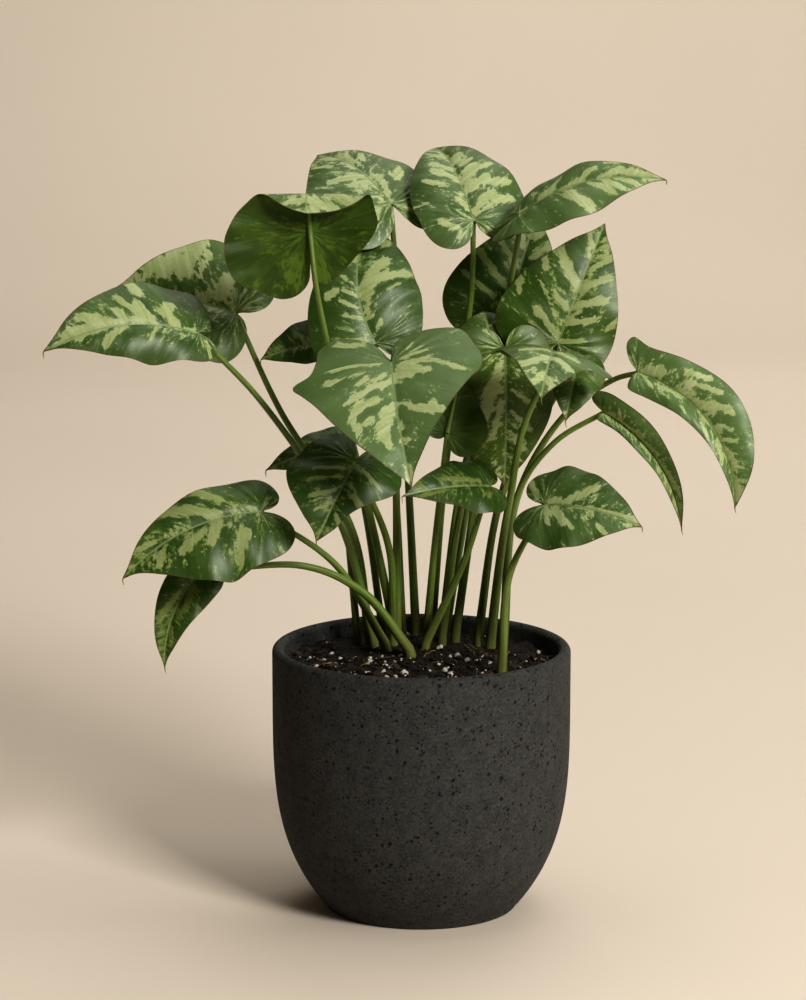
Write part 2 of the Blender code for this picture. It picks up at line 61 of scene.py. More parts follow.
# Pot: one thrown and turned vessel of unglazed charcoal stoneware. Its wall is nearly upright, curves in
# faster and faster to a small foot, and ends above in a rounded rim. Iron pits and paler dust speckle it.
MM = 0.001
SHARP_ANGLE = 50
POT_RADIUS = 85.0
POT_HEIGHT = 152.0
POT_WALL = 6.8
POT_FLOOR = 7.0
POT_FOOT_RADIUS = 54.0
POT_FOOT_ROUNDING = 2.5
POT_FOOT_INSET = 1.0
POT_BELLY_HEIGHT = 125.0
POT_BELLY_POWER = 3.6
POT_CROWDING = 0.7
POT_STEPS = 160
PIT_RAGGEDNESS = 0.0042
STONEWARE_DARK = (0.030, 0.030, 0.029)
STONEWARE_LIGHT = (0.066, 0.066, 0.062)
STONEWARE_DUST = (0.110, 0.108, 0.104)
STONEWARE_PIT = (0.006, 0.0055, 0.005)


def fill(node, **inputs):
    """Sets or links inputs of a node, by name with _ for a blank, or by number as i0, i1 and so on."""
    for name, value in inputs.items():
        numbered = name[0] == "i" and name[1:].isdigit()
        socket = node.inputs[int(name[1:]) if numbered else name.replace("_", " ")]
        if isinstance(value, Wire):
            socket.id_data.links.new(value.socket, socket)
        elif socket.type == "RGBA":
            socket.default_value = (*value, 1.0)
        else:
            socket.default_value = value


class Wire:
    """A socket in a tree of nodes. Sums of wires and numbers add the nodes that work them out."""

    def __init__(self, tree, socket=None):
        self.tree = tree
        self.socket = socket

    def node(self, kind, settings=None, out=0, **inputs):
        """Adds a node and gives a wire from one of its outputs."""
        made = self.tree.nodes.new(kind)
        for name, value in (settings or {}).items():
            setattr(made, name, value)
        fill(made, **inputs)
        return Wire(self.tree, made.outputs[out])

    def _math(self, operation, *terms):
        kind = "ShaderNodeVectorMath" if self.socket.type == "VECTOR" else "ShaderNodeMath"
        return self.node(kind, {"operation": operation}, **{f"i{k}": term for k, term in enumerate(terms)})

    def __add__(self, other):
        return self._math("ADD", self, other)

    __radd__ = __add__

    def __sub__(self, other):
        return self._math("SUBTRACT", self, other)

    def __rsub__(self, other):
        return self._math("SUBTRACT", other, self)

    def __mul__(self, other):
        return self._math("MULTIPLY", self, other)

    __rmul__ = __mul__

    def __truediv__(self, other):
        return self._math("DIVIDE", self, other)

    def __rtruediv__(self, other):
        return self._math("DIVIDE", other, self)

    def __abs__(self):
        return self._math("ABSOLUTE", self)

    def larger(self, other):
        return self._math("MAXIMUM", self, other)

    def split(self, axis):
        """One part of a vector."""
        return self.node("ShaderNodeSeparateXYZ", out=axis, Vector=self)

    def rise(self, low, high):
        """Zero below low, one above high, and a soft step between them."""
        softly = {"interpolation_type": "SMOOTHSTEP"}
        return self.node("ShaderNodeMapRange", softly, Value=self, From_Min=low, From_Max=high)

    def blend(self, first, second):
        """The first colour where this wire is zero, the second where it is one."""
        return self.node("ShaderNodeMix", {"data_type": "RGBA"}, out=2, i0=self, i6=first, i7=second)

    def bump(self, strength, depth):
        """The bent surface direction that this wire makes as a height."""
        return self.node("ShaderNodeBump", Height=self, Strength=strength, Distance=depth)

    def stored(self, name, out="Vector"):
        """What the mesh stores under a name."""
        return self.node("ShaderNodeAttribute", {"attribute_name": name}, out=out)

    def mottle(self, vector, scale, detail, roughness):
        """Noise over a vector, from zero to one."""
        kind = "ShaderNodeTexNoise"
        return self.node(kind, Vector=vector, Scale=scale, Detail=detail, Roughness=roughness)

    def pits(self, vector, scale, share, width):
        """Scattered round spots of many sizes, one at their middles. share of the cells have no spot."""
        cell = self.node("ShaderNodeTexVoronoi", Vector=vector, Scale=scale)
        size = self.node("ShaderNodeTexVoronoi", out="Color", Vector=vector, Scale=scale).split(0)
        return 1 - (cell / (size.rise(share, 1.0) * width + 0.001)).rise(0.6, 1.0)


def finish_named(name):
    """A new material: a wire in it, its Principled shader and the material itself."""
    material = bpy.data.materials.new(name)
    material.use_nodes = True
    return Wire(material.node_tree), material.node_tree.nodes["Principled BSDF"], material


def stoneware_finish():
    wire, shader, material = finish_named("charcoal_stoneware")
    place = wire.node("ShaderNodeTexCoord", out="Object")
    cloud = wire.mottle(place, 120.0, 4.0, 0.6)
    grain = wire.mottle(place, 700.0, 3.0, 0.65)
    body = (cloud * 0.35 + grain * 0.65).rise(0.36, 0.66).blend(STONEWARE_DARK, STONEWARE_LIGHT)
    dust = wire.mottle(place, 520.0, 2.0, 0.7).rise(0.60, 0.72) * 0.5
    ragged = wire.node("ShaderNodeTexNoise", out="Color", Vector=place, Scale=420.0, Detail=2.0)
    warp = place + ragged * PIT_RAGGEDNESS
    pit = wire.pits(warp, 260.0, 0.38, 0.37).larger(wire.pits(warp, 520.0, 0.50, 0.42))
    relief = (grain - 0.5) * 0.5 + cloud * 0.1 - pit * 1.3
    body = pit.blend(dust.blend(body, STONEWARE_DUST), STONEWARE_PIT)
    fill(shader, Base_Color=body, Roughness=0.80 + cloud * 0.1, Normal=relief.bump(0.6, 0.0006))
    return material


def mesh_from(name, points, faces):
    """A mesh from points in millimetres."""
    mesh = bpy.data.meshes.new(name)
    mesh.from_pydata((MM * np.array(points, float)).tolist(), [], faces)
    return mesh


def show(name, mesh, materials):
    """Puts a mesh in the scene as a piece of the potted plant, smooth but for its sharp edges."""
    for material in materials:
        mesh.materials.append(material)
    piece = bpy.data.objects.new(name, mesh)
    bpy.context.scene.collection.objects.link(piece)
    mesh.polygons.foreach_set("use_smooth", [True] * len(mesh.polygons))
    mesh.set_sharp_from_angle(angle=math.radians(SHARP_ANGLE))
    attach(piece, "root")
    return piece


def ringed_mesh(name, points, steps):
    """A closed body: its first pole, rings of as many points as there are steps, and its last pole."""
    after = [(k + 1) % steps for k in range(steps)]
    pole = len(points) - 1
    end = pole - steps
    faces = [(0, 1 + k, 1 + after[k]) for k in range(steps)]
    for low in range(1, end, steps):
        high = low + steps
        faces += [(low + k, high + k, high + after[k], low + after[k]) for k in range(steps)]
    faces += [(end + k, pole, end + after[k]) for k in range(steps)]
    return mesh_from(name, points, faces)


def turned_mesh(name, profile, steps):
    """A turned body whose profile, in radius and height, starts and ends on the axis."""
    angles = np.linspace(0, 2 * math.pi, steps, endpoint=False)
    points = [(0, 0, profile[0][1])]
    for radius, z in profile[1:-1]:
        points += [(radius * math.cos(a), radius * math.sin(a), z) for a in angles]
    points.append((0, 0, profile[-1][1]))
    return ringed_mesh(name, points, steps)


def pot_wall(top_radius, foot_radius, foot_z, steps):
    """One face of the wall, from the belly down, with its points crowded towards the foot."""
    depth = POT_BELLY_HEIGHT - foot_z
    profile = []
    for k in range(steps + 1):
        z = POT_BELLY_HEIGHT - depth * (k / steps) ** POT_CROWDING
        drop = (POT_BELLY_HEIGHT - z) / depth
        profile.append((top_radius - (top_radius - foot_radius) * drop**POT_BELLY_POWER, z))
    return profile


def rounded(centre, radius, start, end, steps):
    """An arc of the profile, between two angles in degrees."""
    angles = [math.radians(start + (end - start) * k / steps) for k in range(steps + 1)]
    return [(centre[0] + radius * math.cos(a), centre[1] + radius * math.sin(a)) for a in angles]


lip = POT_WALL / 2
pot_inside = pot_wall(POT_RADIUS - POT_WALL, POT_FOOT_RADIUS - POT_WALL, POT_FLOOR, steps=24)[::-1]
pot_rim = rounded((POT_RADIUS - lip, POT_HEIGHT - lip), lip, start=180, end=0, steps=16)
pot_outside = pot_wall(POT_RADIUS, POT_FOOT_RADIUS, 0.0, steps=40)
pot_outside = [point for point in pot_outside if point[1] > POT_FOOT_ROUNDING]
foot_middle = (POT_FOOT_RADIUS - POT_FOOT_INSET, POT_FOOT_ROUNDING)
foot_edge = rounded(foot_middle, POT_FOOT_ROUNDING, start=-20, end=-90, steps=5)
pot_profile = [(0, POT_FLOOR), *pot_inside, *pot_rim, *pot_outside, *foot_edge, (0, 0)]
pot = show("stoneware_pot", turned_mesh("stoneware_pot", pot_profile, POT_STEPS), [stoneware_finish()])
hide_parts("pot")


# Soil: dark, damp peat and crumbled bark that fills the pot to a centimetre under its rim and is heaped
# round the stalks. White perlite grains and a few straw-coloured fibres lie loose on it, mostly in front.
SOIL_RADIUS = POT_RADIUS - POT_WALL - 0.3
SOIL_EDGE_Z = 142.0
SOIL_BOTTOM = 120.0
SOIL_RINGS = 64
SOIL_STEPS = 200
MOUND_HEIGHT = 6.0
MOUND_CENTRE = (4.0, 28.0)
MOUND_SPREAD = 34.0
LUMP_HEIGHT = 0.9
LUMP_LENGTHS = (20.3, 23.3, 37.0, 27.3)
LUMP_SHIFTS = (0.9, 2.0)
CLOD_HEIGHT = 1.1
CLOD_LENGTH = 7.0
CLOD_LEVEL = 3.0
CLOD_NOISE = (0.9, 2.1, 4)
GRIT_HEIGHT = 0.7
GRIT_LENGTH = 2.2
GRIT_LEVEL = 9.0
SOIL_SINK = 0.6
STREWN_RADIUS = 76.0
STALKS_X = (-47, 57)
STALKS_Y = (12, 54)
AMONG_STALKS = 0.25
CRUMB_TILT = 0.12
FIBRES = 46
FIBRE_STEPS = 7
FIBRE_SIDES = 5
FIBRE_BEND = 0.12
FIBRE_LENGTHS = (4, 15)
FIBRE_RADII = (0.15, 0.32)
FIBRE_LIFT = 0.7
FIBRE_ARCH = 0.6
FIBRE_MARGIN = 1.5
PEAT_DARK = (0.008, 0.0055, 0.004)
PEAT_BROWN = (0.030, 0.021, 0.013)
BARK = (0.060, 0.038, 0.020)
PERLITE = (0.72, 0.69, 0.62)
PERLITE_DUSTY = (0.45, 0.40, 0.33)
STRAW = (0.34, 0.24, 0.11)
STRAW_DARK = (0.12, 0.08, 0.04)
chance = np.random.RandomState(11)


def soil_height(x, y):
    """The soil's upper surface: a low mound round the stalks, with small lumps."""
    away = math.hypot(x - MOUND_CENTRE[0], y - MOUND_CENTRE[1])
    turns = [2 * math.pi * p / length for p, length in zip((x, y, x, y), LUMP_LENGTHS)]
    lumps = math.sin(turns[0] + LUMP_SHIFTS[0]) * math.cos(turns[1])
    lumps += math.sin(turns[2] - turns[3] + LUMP_SHIFTS[1]) / 2
    return SOIL_EDGE_Z + MOUND_HEIGHT * math.exp(-((away / MOUND_SPREAD) ** 2)) + LUMP_HEIGHT * lumps


def crumbled(x, y):
    """The soil's surface with its clods and its grit."""
    clods = CLOD_HEIGHT * noise.fractal(Vector((x, y, CLOD_LEVEL)) / CLOD_LENGTH, *CLOD_NOISE)
    grit = GRIT_HEIGHT * noise.noise(Vector((x, y, GRIT_LEVEL)) / GRIT_LENGTH)
    return soil_height(x, y) + clods + grit - SOIL_SINK


def soil_mesh():
    points = [(0, 0, crumbled(0, 0))]
    for ring in range(1, SOIL_RINGS + 1):
        for k in range(SOIL_STEPS):
            r, a = SOIL_RADIUS * ring / SOIL_RINGS, 2 * math.pi * k / SOIL_STEPS
            x, y = r * math.cos(a), r * math.sin(a)
            points.append((x, y, crumbled(x, y)))
    points += [(x, y, SOIL_BOTTOM) for x, y, z in points[-SOIL_STEPS:]]
    points.append((0, 0, SOIL_BOTTOM))
    return ringed_mesh("soil", points, SOIL_STEPS)


def earth_finish(name, dark, light, roughness, scale):
    """A crumbly material in patches of two colours."""
    wire, shader, material = finish_named(name)
    place = wire.node("ShaderNodeTexCoord", out="Object")
    patch = wire.mottle(place, scale, 4.0, 0.65).rise(0.34, 0.68)
    relief = wire.mottle(place, scale * 4, 4.0, 0.7)
    fill(shader, Base_Color=patch.blend(dark, light), Roughness=roughness, Normal=relief.bump(0.8, 0.0008))
    return material


def strewn(count, front_share, lift):
    """Places over the soil. A high front_share puts more of them in front of the stalks than behind."""
    places = []
    while len(places) < count:
        r, a = STREWN_RADIUS * math.sqrt(chance.uniform()), chance.uniform(0, 2 * math.pi)
        x, y = r * math.cos(a), r * math.sin(a)
        among_stalks = STALKS_X[0] < x < STALKS_X[1] and STALKS_Y[0] < y < STALKS_Y[1]
        wanted = front_share if y < STALKS_Y[0] else 1 - front_share
        if chance.uniform() < wanted * (AMONG_STALKS if among_stalks else 1.0):
            places.append((x, y, crumbled(x, y) + lift))
    return places


def crumb_mesh(name, places, sizes, fineness, knobs):
    """Many crumbs as one mesh: knobbly balls, stretched, turned and set down on their places."""
    ball = bmesh.new()
    bmesh.ops.create_icosphere(ball, subdivisions=fineness, radius=1.0)
    shape = np.array([v.co[:] for v in ball.verts])
    corners = [[v.index for v in face.verts] for face in ball.faces]
    ball.free()
    points, faces = [], []
    for place, size in zip(places, sizes):
        spin = Euler(chance.uniform(0, 2 * math.pi, 3) * (CRUMB_TILT, CRUMB_TILT, 1.0)).to_matrix()
        crumb = shape * (1 + chance.uniform(-knobs, knobs, (len(shape), 1)))
        faces += [[len(points) + index for index in face] for face in corners]
        points += list((crumb * size) @ np.array(spin).T + place)
    return mesh_from(name, points, faces)


def add_crumbs(name, finish, count, smallest, spread, rarity, form, front_share, lift, fineness, knobs):
    """Crumbs of one kind, by up to spread larger than the smallest. A high rarity makes large ones rare."""
    sizes = [(smallest + spread * chance.uniform() ** rarity) * np.array(form) for k in range(count)]
    show(name, crumb_mesh(name, strewn(count, front_share, lift), sizes, fineness, knobs), [finish])


def unit(vector):
    return np.asarray(vector, float) / np.linalg.norm(vector)


def thread(points, radii, sides):
    """Points and faces of a closed round tube."""
    points = np.array(points, float)
    runs = np.gradient(points, axis=0)
    runs /= np.linalg.norm(runs, axis=1, keepdims=True)
    across = unit(np.cross(runs[0], (0.3, 1.0, 0.2)))
    turns = [2 * math.pi * k / sides for k in range(sides)]
    knots, faces = [], []
    for point, run, radius in zip(points, runs, radii):
        across = unit(across - across.dot(run) * run)
        beside = np.cross(run, across)
        knots += [point + radius * (math.cos(a) * across + math.sin(a) * beside) for a in turns]
    first, last, end = len(knots), len(knots) + 1, len(knots) - sides
    after = [(k + 1) % sides for k in range(sides)]
    for low in range(0, end, sides):
        high = low + sides
        faces += [(low + k, low + after[k], high + after[k], high + k) for k in range(sides)]
    faces += [(after[k], k, first) for k in range(sides)]
    faces += [(end + k, end + after[k], last) for k in range(sides)]
    return [*knots, points[0], points[-1]], faces


def fibre_walk(start):
    """Points of a bent fibre that lies on the soil and ends before the pot's wall."""
    heading = chance.uniform(0, 2 * math.pi)
    bend = chance.uniform(-FIBRE_BEND, FIBRE_BEND)
    step = chance.uniform(*FIBRE_LENGTHS) / FIBRE_STEPS
    walk = [start]
    for k in range(FIBRE_STEPS):
        heading += bend * step
        x, y = walk[-1][0] + step * math.cos(heading), walk[-1][1] + step * math.sin(heading)
        if math.hypot(x, y) > SOIL_RADIUS - FIBRE_MARGIN:
            break
        walk.append((x, y, crumbled(x, y) + FIBRE_LIFT + chance.uniform(0, FIBRE_ARCH)))
    return walk


def fibre_mesh(name):
    points, faces = [], []
    for start in strewn(FIBRES, front_share=0.8, lift=1.0):
        walk = fibre_walk(start)
        if len(walk) > 2:
            knots, sides = thread(walk, [chance.uniform(*FIBRE_RADII)] * len(walk), FIBRE_SIDES)
            faces += [[len(points) + index for index in face] for face in sides]
            points += knots
    return mesh_from(name, points, faces)


peat_finish = earth_finish("damp_peat", PEAT_DARK, PEAT_BROWN, roughness=0.92, scale=420.0)
bark_finish = earth_finish("bark_chip", PEAT_BROWN, BARK, roughness=0.85, scale=260.0)
perlite_finish = earth_finish("white_perlite", PERLITE_DUSTY, PERLITE, roughness=0.9, scale=500.0)
straw_finish = earth_finish("straw_fibre", STRAW_DARK, STRAW, roughness=0.8, scale=200.0)
soil = show("soil_bed", soil_mesh(), [peat_finish])
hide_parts("soil")
add_crumbs("peat_crumbs", peat_finish, count=1500, smallest=0.5, spread=1.0, rarity=1, form=(1.0, 0.8, 0.7),
           front_share=0.7, lift=0.3, fineness=1, knobs=0.25)
add_crumbs("bark_chips", bark_finish, count=230, smallest=0.5, spread=1.0, rarity=1, form=(3.2, 1.5, 0.6),
           front_share=0.6, lift=0.5, fineness=1, knobs=0.3)
add_crumbs("perlite_grains", perlite_finish, count=300, smallest=0.45, spread=1.9, rarity=3,
           form=(1.0, 0.85, 0.7), front_share=0.8, lift=0.4, fineness=2, knobs=0.24)
show("straw_fibres", fibre_mesh("straw_fibres"), [straw_finish])


# Leaves: each grew as one piece, a satin heart-shaped blade on its own round stalk that stands in the soil.
# The upper side is dark green with feathered cream flecks along the side veins, the underside is olive, and
# the midrib runs under the blade as a thin rib down to the drip tip.
STALK_DEPTH = 16.0
STALK_STRAIGHT = 5.0
STALK_UPRIGHT = 1.2
STALK_TAPER = 0.7
STALK_END_RADIUS = 1.45
STALK_TUCK = 0.2
STALK_STEPS = 44
STALK_SIDES = 12
STALK_PATTERN = 12.0
RIB_SHARE = 0.95
ROLLED_RIB_SHARE = 0.42
RIB_STEPS = 26
RIB_SIDES = 10
RIB_TAPER = 0.8
RIB_THICK = 0.9
RIB_THIN = 0.12
RIB_SUNK = 0.45
RIB_FAR = 300.0
DRIP_SIDES = 6
DRIP_RADII = (0.40, 0.36, 0.30, 0.22, 0.10)
DRIP_SHARES = (0.96, 0.995)
DRIP_GAP = 0.3
DRIP_FALL = (0.8, 2.0, 3.4)
DRIP_DRIFT = (0.0, 0.25, 0.65)
BLADE_THICKNESS = 0.55
EDGE_THIN = 0.35
EDGE_WIDTH = 4.0
BLADE_ROWS = 96
BLADE_COLUMNS = 14
PATH_SAMPLES = 33
MIDRIB_SAMPLES = 81
VEINS = 12
VEIN_SLOPE = 0.55
VEIN_BEND = 0.30
VEIN_RELIEF = 0.35
SWELL_PLACE = 0.8
SMALL_BLADE = 70.0
MIDRIB_GROOVE = 0.45
GROOVE_WIDTH = 1.6
GROOVE_FADES = (4.0, 12.0)
WAVES = 2.5
WAVE_SHIFT = 2.1
SLIM_PLACE = 1.5
STROKE_HEART = 1.15
STROKE_FADE = 0.6
FLECK_REACH = 0.45
FLECK_FAR = 0.35
VEIN_APART = 40
SPOT_APART = 160
MARGIN_ROLL = 2.7
SIDES = (1, -1)
# The darkest green is partly the leaf's own tone and partly painted shade on leaves that sit in shadow.
LEAF_DARK_AND_SHADE = (0.046, 0.092, 0.016)
# The greyish green and the greyish pale green stand in for the satin sheen of the upper side: painted
# sheen. The clear greens are the leaf's own colour without it.
LEAF_SHEEN_GREEN = (0.140, 0.215, 0.078)
LEAF_FRESH = (0.120, 0.200, 0.022)
LEAF_PALE_SHEEN = (0.240, 0.345, 0.150)
LEAF_PALE_FRESH = (0.225, 0.330, 0.070)
LEAF_LIME = (0.360, 0.440, 0.170)
LEAF_CREAM = (0.530, 0.580, 0.330)
# The dull cream is the cream marks on darker leaves, partly their own tone and partly painted shade.
LEAF_DULL_AND_SHADE = (0.185, 0.225, 0.050)
VEIN_PALE = (0.300, 0.380, 0.170)
MARGIN_BROWN = (0.130, 0.075, 0.035)
UNDER_OLIVE = (0.038, 0.075, 0.008)
UNDER_BRIGHT = (0.135, 0.215, 0.030)
LIGHT_ABOVE = (0.36, 0.52, 0.06)
LIGHT_BELOW = (0.36, 0.52, 0.05)
STALK_GREEN = (0.190, 0.270, 0.062)
STALK_OLIVE = (0.105, 0.145, 0.028)
STALK_BROWN = (0.180, 0.120, 0.050)

# Half of the heart outline, round the lobe, without its ends at the joint and the tip. Along the midrib,
# values below zero are parts of the lobe's length and the others of the blade's. Across, they are parts of
# the half width.
HEART = (
    (-0.5, 0.08), (-0.88, 0.24), (-1.0, 0.48), (-0.74, 0.76), (-0.12, 0.95),
    (0.14, 1.0), (0.36, 0.89), (0.58, 0.64), (0.78, 0.36), (0.91, 0.12))

# Outlines of leaves that aren't such hearts, in the same parts. The front leaf has a blunt corner on its
# right, one half behind it is nearly round, the lobes of the rolled leaf almost meet under its joint, and
# the far right leaf has a shoulder.
FRONT_HEART_EDGES = (
    ((-0.78, 0.08), (-0.97, 0.26), (-0.97, 0.58), (-0.78, 0.82), (0.0, 0.98), (0.19, 1.0),
     (0.28, 0.86), (0.4, 0.7), (0.52, 0.54), (0.66, 0.34), (0.78, 0.2), (0.9, 0.07)),
    ((-0.62, 0.16), (-0.9, 0.34), (-1.0, 0.54), (-0.65, 0.71), (-0.05, 0.76), (0.07, 0.82),
     (0.13, 1.0), (0.22, 0.92), (0.45, 0.69), (0.65, 0.46), (0.84, 0.2), (0.94, 0.06)))
ROUND_HALF = (
    (-0.6, 0.12), (-1.0, 0.3), (-0.75, 0.62), (0.0, 0.88), (0.22, 1.0), (0.5, 0.96),
    (0.72, 0.84), (0.88, 0.6), (0.96, 0.3))
ROLLED_EDGES = (
    ((-0.6, 0.02), (-0.9, 0.06), (-0.98, 0.2), (-0.84, 0.36), (-0.57, 0.58), (-0.2, 0.85),
     (0.1, 1.0), (0.35, 0.97), (0.55, 0.92), (0.75, 0.8), (0.92, 0.5), (0.98, 0.2)),
    ((-0.5, 0.02), (-0.78, 0.06), (-0.96, 0.2), (-1.0, 0.38), (-0.86, 0.62), (-0.62, 0.92),
     (-0.08, 1.0), (0.3, 0.87), (0.54, 0.68), (0.75, 0.46), (0.92, 0.22)))
SHOULDERED_EDGES = (
    ((-0.55, 0.22), (-0.95, 0.62), (-0.8, 0.84), (0.03, 0.7), (0.24, 0.86), (0.42, 1.0),
     (0.6, 0.92), (0.78, 0.62), (0.91, 0.25)),
    HEART)


@dataclass
class Leaf:
    """One leaf. Of two values, the first is for the left half, with the tip ahead and the upper side up."""
    stalk: tuple  # where it leaves the soil, then points that it passes
    midrib: tuple  # where it starts and where it ends
    face: tuple  # where the upper side looks
    halves: tuple  # half widths
    lobes: tuple  # lobe lengths
    rise: tuple  # how far the margins stand over the midrib
    bow: float  # how far the midrib arches up
    belly: float  # how far each half swells
    droop: float  # how far the lobes hang
    fleck: float  # how much cream there is
    # The darkness of the green is partly the leaf's own tone and partly painted shade on leaves that sit in
    # shadow.
    tone_and_shade: float  # how dark the green is
    # Greyish green here is painted sheen; grass green is the leaf's clear colour.
    clear_of_sheen: float  # how clear the green is, from greyish to grass green
    strokes: tuple = ()  # cream marks: start and end, each along the midrib and left of it, and half width
    base: float = 2.8  # the stalk's radius at the soil
    sweep: float = 0  # how far the midrib bends to the left
    wave: float = 1.5  # height of the margin's waves
    edges: tuple = (HEART, HEART)  # outlines of the two halves
    slim: tuple = (0, 0)  # how much narrower the halves run towards the tip
    twist: float = 0  # how far the blade turns round its midrib by the tip, in degrees
    roll: tuple = None  # the height from which the blade rolls over to the front, and the roll's radius


